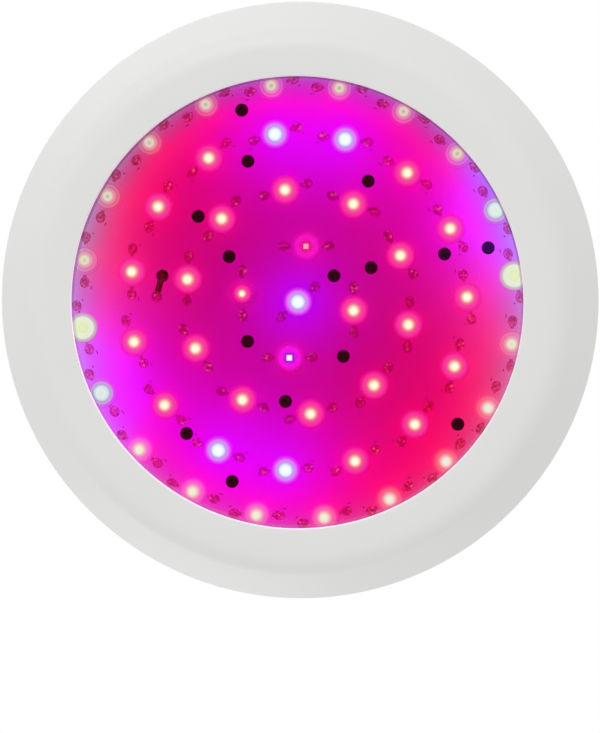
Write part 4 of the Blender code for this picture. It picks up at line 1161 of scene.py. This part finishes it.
sink_top = sink_low.z + SINK_BASE
exit_z = sink_top + (DRIVER_TOP - sink_top - FIT_GAP) * 0.6
exit_y = hole_place.y - WIRE_DRIVER_Y
below_board = BOARD_FACE - FIT_GAP - WIRE_RADIUS
along = (blob_place - hole_place).normalized()
wire_line = smooth_line([
    Vector((DRIVER_SIDE + FIT_GAP, exit_y, exit_z)),
    Vector((DRIVER_SIDE + FIT_GAP + WIRE_BEND, exit_y, exit_z)),
    Vector((hole_place.x, hole_place.y - WIRE_BEND, exit_z - WIRE_BEND)),
    Vector((hole_place.x, hole_place.y, sink_top)),
    Vector((hole_place.x, hole_place.y, BOARD_TOP)),
    Vector((hole_place.x, hole_place.y, below_board)) + along * 0.002,
    Vector((blob_place.x, blob_place.y, below_board)) - along * BLOB_SIZE[0] / 2,
], 12)
wire_curve = bpy.data.curves.new("led_wire_line", "CURVE")
wire_curve.dimensions = "3D"
wire_curve.bevel_depth = WIRE_RADIUS
wire_curve.bevel_resolution = 6
wire_curve.use_fill_caps = True
spline = wire_curve.splines.new("POLY")
spline.points.add(len(wire_line) - 1)
for point, place in zip(spline.points, wire_line):
    point.co = (*place, 1)
wire_tones = (0.11, 0.0, 0.008), (0.17, 0.0, 0.014)
wire_finish = mottled("red_wire_insulation", 0.003, *wire_tones, 0.35, 0.15, specular_ior_level=0.04)
wire_curve.materials.append(wire_finish.material)
mount(placed("led_wire_line", wire_curve), "red_insulation", "led_wire")


def paint_red_light_and_shade(finish, share, tone, light):
    """Where share is 1, a surface near the wire's hole gets painted shade and a little painted red light."""
    finish.feed(
        base_color=finish.mix(share, tone, (0.02, 0.0, 0.002)),
        emission_color=finish.mix(share, (0, 0, 0), (light, 0.0, 0.008)),
    )


# Painted light and shade where the red light from the wire's hole lands on the inside of the back.
landing = (hole_place.x - LANDING_SHIFT, hole_place.y + LANDING_SHIFT, back_inside)
height = white_shell.parts_of(white_shell.place)[2]
inside = 1 - (height - back_inside).rise(*LANDING_LAYER)
leak = (1 - white_shell.distance(landing).rise(*LANDING_REACH)) * inside
paint_red_light_and_shade(white_shell, leak, white_shell.tone, 0.12)
print("wire:", len(wire_line), "points")

# %% [markdown]
# Small printed marks by the outer LEDs' pads show which lead is which on such boards. The letters are left
# out; short strokes and dots stand for the marks.

# %% Board marks
MARK_LOW, MARK_HIGH = -0.00006, 0.00002
# The marks are real print; their magenta emission is painted light from the LEDs on that print.
mark_finish = Finish("board_marks_in_magenta_light", roughness=0.6, specular_ior_level=0.05)
fade = mark_finish.noise(0.0012)
mark_finish.feed(
    emission_color=mark_finish.mix(fade, (0.1170, 0.0, 0.0452), (0.2623, 0.0, 0.1022)),
    base_color=mark_finish.mix(fade, (0.02, 0.0, 0.01), (0.03, 0.0, 0.02)),
)
outer_leds = [led for led in leds if led.ring > 2]
strokes = copies(box(0.0016, 0.00035, MARK_LOW, MARK_HIGH), by_leds(outer_leds, 0.0122, -0.0030))
dots = copies(round_bar(0.00035, MARK_LOW, MARK_HIGH, 10), by_leds(outer_leds, -0.0118, -0.0032))
for name, mesh in (("polarity_strokes", strokes), ("polarity_dots", dots)):
    mount(shown(name, mesh, mark_finish), "led_board", "led_board")

# %% [markdown]
# Screws: cheap pan heads with a cross recess. One head is turned and its recess is cut, then it is copied
# to each place with a turn of its own, since no two screws end up at the same angle. The board's and the
# fan's are black oxide steel, the rest zinc plated.

# %% Screws
HEAD_RADIUS = 0.0029
HEAD_HEIGHT = 0.0020
HEAD_CROWN = 0.0012
HEAD_EDGE = 0.0001
SHANK_RADIUS = 0.0015
SHANK_TIP = 0.0006
RECESS_WIDTH = 0.0008
RECESS_LENGTH = 0.0032
RECESS_DEPTH = 0.0012
SCREW_TURN = 137.5
DRIVER_FLANGE = 0.002
GUARD_LOOP_THICKNESS = 0.0016


def rounded_top(radius, height, round_radius):
    """The line of a flat top from the axis to where its rounded corner ends."""
    corner = (radius - round_radius, height - round_radius)
    return [(0, height)] + arc(corner, round_radius, math.pi / 2, 0, 5)


def screw_mesh(length):
    """A pan-head screw that points down, with its head on Z = 0."""
    profile = rounded_top(HEAD_RADIUS, HEAD_HEIGHT, HEAD_CROWN)
    profile += [(HEAD_RADIUS, HEAD_EDGE), (HEAD_RADIUS - HEAD_EDGE, 0), (SHANK_RADIUS, 0)]
    profile += [(SHANK_RADIUS, SHANK_TIP - length), (SHANK_RADIUS * 0.6, -length), (0, -length)]
    blank = shown("blank", turned(profile, 28))
    arm = box(RECESS_LENGTH, RECESS_WIDTH, HEAD_HEIGHT - RECESS_DEPTH, HEAD_HEIGHT + CUT_PAST / 2)
    for turn in spun((0, 90)):
        carve(blank, moved(arm, turn))
    return mesh_of(blank)


def steel(name, dark, light, roughness, metallic=1.0, **looks):
    return mottled(name, 0.0012, dark, light, roughness, 0.12, 2.0, metallic=metallic, **looks)


# Painted light on black oxide: a red tint in the base colour, and blue emission near LED (4, 1).
oxide = steel("black_oxide_in_magenta_light", (0.028, 0.0, 0.005), (0.058, 0.0, 0.012), 0.45, 0.1,
              specular_ior_level=0.02)
blue_led_light_on_screws = near_led(oxide, Led(4, 1), 0.016)
oxide.feed(emission_color=oxide.mix(blue_led_light_on_screws, (0, 0, 0), (0.03, 0.01, 0.45)))
black_screw = steel("black_oxide_steel", (0.012, 0.012, 0.013), (0.035, 0.035, 0.037), 0.32, 0.8)
zinc = steel("zinc_plated_steel", (0.52, 0.53, 0.55), (0.70, 0.70, 0.71), 0.22)
driver_low, driver_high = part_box("led_driver_1")
DRIVER_X = (driver_low.x + driver_high.x) / 2
DRIVER_HOLE_Y = driver_high.y - 0.004
driver_screw_places = [(x, y) for x in (DRIVER_X, -DRIVER_X) for y in (DRIVER_HOLE_Y, -DRIVER_HOLE_Y)]
driver_seat = sink_top + DRIVER_FLANGE + 2 * FIT_GAP
guard_seat = BACK + GUARD_LOOP_THICKNESS + 2 * FIT_GAP
SCREW_SETS = (
    ("board_screw", 0.0048, board_screw_places, BOARD_FACE - FIT_GAP, oxide, "black_screws"),
    ("sink_screw", 0.010, sink_screw_places, sink_top + FIT_GAP, zinc, "plated_steel"),
    ("driver_screw", 0.0052, driver_screw_places, driver_seat, zinc, "plated_steel"),
    ("case_screw", 0.009, case_screw_places, WELL_FLOOR + FIT_GAP, zinc, "plated_steel"),
    ("fan_screw", 0.0085, fan_screw_places, guard_seat, black_screw, "black_screws"),
)
for name, length, points, seat, finish, slot_name in SCREW_SETS:
    screw = screw_mesh(length)
    if name == "board_screw":
        screw = moved(screw, Matrix.Rotation(math.pi, 4, "X"))
    turns = spun(SCREW_TURN * number for number in range(len(points)))
    mesh = copies(screw, [place @ turn for place, turn in zip(at(points, seat), turns)])
    names = [f"{name}_{number}" for number in range(1, len(points) + 1)]
    mount(shown(name + "s", mesh, finish), slot_name, *names)
    print(name, len(points))

# %% [markdown]
# The fan is a square moulded frame with a motor on four struts, and a rotor with seven twisted blades that
# spins on it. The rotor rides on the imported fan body, so it turns with the joint; the frame stays put.

# %% Fan
FAN_SIZE = 0.080
FAN_CORNER = 0.005
FAN_FLANGE = 0.0035
FAN_TOP = back_inside - FIT_GAP
FAN_BOTTOM = FAN_TOP - 0.020
DUCT_RADIUS = FAN_BORE + 0.0016
STATOR_TOP = FAN_BOTTOM + 0.0035
STATOR_RADIUS = 0.016
STRUT_WIDTH = 0.004
STRUT_END = FAN_BORE + 0.0008
SHAFT_RADIUS = 0.002
HUB_RADIUS = 0.017
HUB_ROUND = 0.0012
HUB_BORE_RADIUS = 0.0023
HUB_TOP = FAN_TOP - 0.0018
HUB_LOW = STATOR_TOP + 0.0005
HUB_BORE_TOP = HUB_TOP - HUB_ROUND - 2 * FIT_GAP
SHAFT_TOP = HUB_BORE_TOP - 0.0005
BLADE_COUNT = 7
BLADE_THICKNESS = 0.0012
BLADE_INSET = 0.0015
BLADE_TIP_GAP = 0.0014
BLADE_SPAN = 42
BLADE_SWEEP = 10
BLADE_BOW = 4
BLADE_TAPER = 0.25


def rounded_square(size, radius, steps=8):
    corners = []
    middle = size / 2 - radius
    for index, (side_x, side_y) in enumerate(((1, 1), (-1, 1), (-1, -1), (1, -1))):
        start = index * math.pi / 2
        corners += arc((side_x * middle, side_y * middle), radius, start, start + math.pi / 2, steps)
    return corners


def black_moulding(name, tone=0.018):
    tones = (tone, tone, tone), (tone * 1.5, tone * 1.5, tone * 1.5)
    return mottled(name, 0.02, *tones, 0.38, 0.1, grain=(0.0005, 0.06, 0.00003))


fan_square = rounded_square(FAN_SIZE, FAN_CORNER)
fan_plastic = black_moulding("black_fan_plastic")
fan_frame = shown("fan_frame_moulding", prism(fan_square, FAN_BOTTOM, FAN_TOP), fan_plastic)
waist_low, waist_high = FAN_BOTTOM + FAN_FLANGE, FAN_TOP - FAN_FLANGE
waist = [(DUCT_RADIUS, waist_low), (FAN_SIZE, waist_low), (FAN_SIZE, waist_high), (DUCT_RADIUS, waist_high)]
carve(fan_frame, turned(waist, LIMIT_STEPS))
low, high = FAN_BOTTOM - CUT_PAST, FAN_TOP + CUT_PAST
carve(fan_frame, round_bar(FAN_BORE, low, high, LIMIT_STEPS))
carve(fan_frame, copies(round_bar(SCREW_HOLE_RADIUS, low, high), at(fan_screw_places)))
stator = [(0, FAN_BOTTOM), (STATOR_RADIUS, FAN_BOTTOM), (STATOR_RADIUS, STATOR_TOP)]
stator += [(SHAFT_RADIUS, STATOR_TOP), (SHAFT_RADIUS, SHAFT_TOP), (0, SHAFT_TOP)]
strut = box(STRUT_END - STATOR_RADIUS / 2, STRUT_WIDTH, FAN_BOTTOM + 0.00002, STATOR_TOP - FIT_GAP)
strut = moved(strut, Matrix.Translation(((STRUT_END + STATOR_RADIUS / 2) / 2, 0, 0)))
carve(fan_frame, turned(stator, 48), "UNION")
carve(fan_frame, copies(strut, spun((22.5, 112.5, 202.5, 292.5))), "UNION")
mount(fan_frame, "black_plastic", "fan_frame")


def blade_mesh(rows=8, columns=12):
    """One blade, a twisted plate from inside the hub to just short of the duct."""
    low, high = HUB_LOW + BLADE_INSET, HUB_TOP - BLADE_INSET
    root, tip = HUB_RADIUS - BLADE_INSET, FAN_BORE - BLADE_TIP_GAP
    bm = bmesh.new()
    lines = []
    for row in range(rows):
        outward = row / (rows - 1)
        radius = root + (tip - root) * outward
        rise = (high - low) * (1 - BLADE_TAPER * outward)
        lower, upper = [], []
        for column in range(columns):
            chord = column / (columns - 1)
            bow = math.sin(chord * math.pi) * BLADE_BOW
            angle = math.radians((chord - 0.5) * BLADE_SPAN + outward * BLADE_SWEEP + bow)
            thin = BLADE_THICKNESS / 2 * math.sin(math.pi * (0.12 + 0.76 * chord)) ** 0.5
            height = (low + high) / 2 + (chord - 0.5) * rise
            x, y = radius * math.cos(angle), radius * math.sin(angle)
            for line, side in ((lower, -thin), (upper, thin)):
                line.append(bm.verts.new((x, y, height + side)))
        lines.append((lower, upper))
    for (lower, upper), (next_lower, next_upper) in zip(lines, lines[1:]):
        for line, beyond in ((lower, next_lower), (upper, next_upper)):
            for column in range(columns - 1):
                bm.faces.new((line[column], line[column + 1], beyond[column + 1], beyond[column]))
        bm.faces.new((lower[0], next_lower[0], next_upper[0], upper[0]))
        bm.faces.new((next_lower[-1], lower[-1], upper[-1], next_upper[-1]))
    for lower, upper in (lines[0], lines[-1]):
        for column in range(columns - 1):
            bm.faces.new((lower[column], lower[column + 1], upper[column + 1], upper[column]))
    return to_mesh(bm)


hub = rounded_top(HUB_RADIUS, HUB_TOP, HUB_ROUND) + [(HUB_RADIUS, HUB_LOW), (HUB_BORE_RADIUS, HUB_LOW)]
hub += [(HUB_BORE_RADIUS, HUB_BORE_TOP), (0, HUB_BORE_TOP)]
rotor = shown("fan_rotor_moulding", turned(hub, 72), black_moulding("black_rotor_plastic", 0.022))
blades = copies(blade_mesh(), spun(360 / BLADE_COUNT * number for number in range(BLADE_COUNT)))
carve(rotor, blades, "UNION")
mount(rotor, "black_plastic", "fan_rotor", body="fan")
print("fan:", BLADE_COUNT, "blades")

# %% [markdown]
# The finger guard is nickel plated wire: four rings welded to a cross of two rods, whose ends are bent
# into loops for the screws. All its sections are round.

# %% Finger guard
GUARD_WIRE_RADIUS = 0.0008
GUARD_RINGS = (0.0355, 0.0275, 0.0195, 0.0115)
GUARD_RING_RISE = 0.00105
GUARD_LOOP_RADIUS = 0.0034
GUARD_ROD_START = 0.0111
GUARD_ROD_GAP = 0.0032


def ring_wire(radius, wire_radius, steps, sides=12):
    """A wire bent into a ring round the Z axis."""
    return turned(arc((radius, 0), wire_radius, 0, math.tau, sides)[:-1], steps)


loop_z = BACK + FIT_GAP + GUARD_WIRE_RADIUS
loops = copies(ring_wire(GUARD_LOOP_RADIUS, GUARD_WIRE_RADIUS, 36), at(fan_screw_places, loop_z))
rod_end = math.hypot(FAN_SCREW_HALF, FAN_SCREW_HALF) - GUARD_ROD_GAP
rod = round_bar(GUARD_WIRE_RADIUS, GUARD_ROD_START, rod_end, 12)
rod = moved(rod, Matrix.Translation((0, 0, loop_z)) @ Matrix.Rotation(math.pi / 2, 4, "Y"))
lifted = Matrix.Translation((0, 0, loop_z + GUARD_RING_RISE))
rings = [moved(ring_wire(radius, GUARD_WIRE_RADIUS, 120), lifted) for radius in GUARD_RINGS]
nickel = steel("nickel_plated_wire", (0.60, 0.60, 0.60), (0.74, 0.74, 0.73), 0.16)
guard = shown("finger_guard_wire", joined([loops, copies(rod, spun((45, 135, 225, 315))), *rings]), nickel)
mount(guard, "bright_wire", "fan_guard")
print("guard:", len(guard.data.polygons), "faces")

# %% [markdown]
# Three forged eye bolts carry the lamp. Each has a round loop, a collar and a shank that runs through the
# back to a nut. They are turned and joined, with a small bend where loop and collar meet.

# %% Eye bolts
EYE_LOOP_RADIUS = 0.0075
EYE_WIRE_RADIUS = 0.0019
EYE_SHANK_RADIUS = 0.0020
EYE_SHANK_LENGTH = 0.009
EYE_COLLAR = 0.0018
eye_seat = BACK + FIT_GAP
collar_top = eye_seat + EYE_COLLAR
eye_profile = [(0, collar_top + 0.0019), (0.0021, collar_top + 0.0019), (0.0023, collar_top + 0.0008)]
eye_profile += [(0.0032, collar_top), (0.0047, collar_top), (0.0050, collar_top - 0.0003)]
eye_profile += [(0.0050, eye_seat + 0.0002), (0.0048, eye_seat), (EYE_SHANK_RADIUS, eye_seat)]
eye_profile += [(EYE_SHANK_RADIUS, eye_seat - EYE_SHANK_LENGTH), (0, eye_seat - EYE_SHANK_LENGTH)]
loop_lift = Matrix.Translation((0, 0, collar_top + EYE_LOOP_RADIUS + EYE_WIRE_RADIUS / 2))
eye_loop = ring_wire(EYE_LOOP_RADIUS, EYE_WIRE_RADIUS, 56, 20)
eye_loop = moved(eye_loop, loop_lift @ Matrix.Rotation(math.pi / 2, 4, "X"))
eye = mesh_of(carve(shown("eye", turned(eye_profile, 40)), eye_loop, "UNION"))
for number, place in enumerate(eye_places, 1):
    facing = math.atan2(place.y, place.x) + math.pi / 2
    mesh = moved(eye, Matrix.Translation(place) @ Matrix.Rotation(facing, 4, "Z"))
    mount(shown(f"forged_eye_{number}", mesh, zinc), "plated_steel", f"eye_bolt_{number}")
dress(zinc, "plated_steel", "eye_nut_1", "eye_nut_2", "eye_nut_3")

# %% [markdown]
# The mains inlet, its pins and the two LED drivers have simple shapes, so the imported nodes serve as they
# are, with their edges broken by a small bevel. The heat sink is extruded aluminium, drawn along its fins,
# so its finish has faint streaks that run the same way. Round the wire's hole it gets painted shade and a
# faint painted red light.

# %% Inlet, drivers and heat sink
STREAK_STRETCH = (1, 0.04, 1)
STREAK_SCALE = 900.0
SINK_GLOW_REACH = (0.0045, 0.0065)


def softened(node, name, finish, slot, width):
    """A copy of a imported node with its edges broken, which stands for it."""
    obj = shown(name, cad_nodes[node].data.copy(), finish)
    modifier = obj.modifiers.new("edges", "BEVEL")
    modifier.width = width
    modifier.segments = 2
    modifier.limit_method = "ANGLE"
    modifier.angle_limit = math.radians(40)
    mount(obj, slot, node)


inlet_plastic = black_moulding("black_inlet_plastic", 0.02)
softened("mains_inlet", "inlet_moulding", inlet_plastic, "black_plastic", 0.0004)
pin_metal = steel("nickel_plated_pins", (0.66, 0.65, 0.62), (0.78, 0.77, 0.74), 0.18)
for pole in ("live", "neutral", "earth"):
    softened(f"inlet_pin_{pole}", f"{pole}_pin", pin_metal, "plated_steel", 0.0003)
driver_plastic = black_moulding("black_driver_case", 0.024)
for number in (1, 2):
    softened(f"led_driver_{number}", f"driver_case_{number}", driver_plastic, "driver_case", 0.0008)

sink_finish = Finish("extruded_aluminium", metallic=1.0)
stretched = sink_finish.add("ShaderNodeMapping", {}, {"Vector": sink_finish.place, "Scale": STREAK_STRETCH})
noise_values = {"Vector": stretched, "Scale": STREAK_SCALE, "Detail": 2.0}
streaks = sink_finish.add("ShaderNodeTexNoise", {}, noise_values)
aluminium = sink_finish.mix(streaks, (0.56, 0.57, 0.59), (0.70, 0.71, 0.73))
# Painted shade and faint painted red light round the wire's hole.
hole_end = (hole_place.x, hole_place.y, sink_low.z)
paint_red_light_and_shade(sink_finish, 1 - sink_finish.distance(hole_end).rise(*SINK_GLOW_REACH), aluminium, 0.10)
sink_finish.feed(roughness=0.30 + streaks * 0.16)
sink_finish.bump(streaks, 0.00006, 0.4)
dress(sink_finish, "heat_sink", "heat_sink")
print("inlet at y", round(INLET_Y, 4), "drivers at x", round(DRIVER_X, 4))
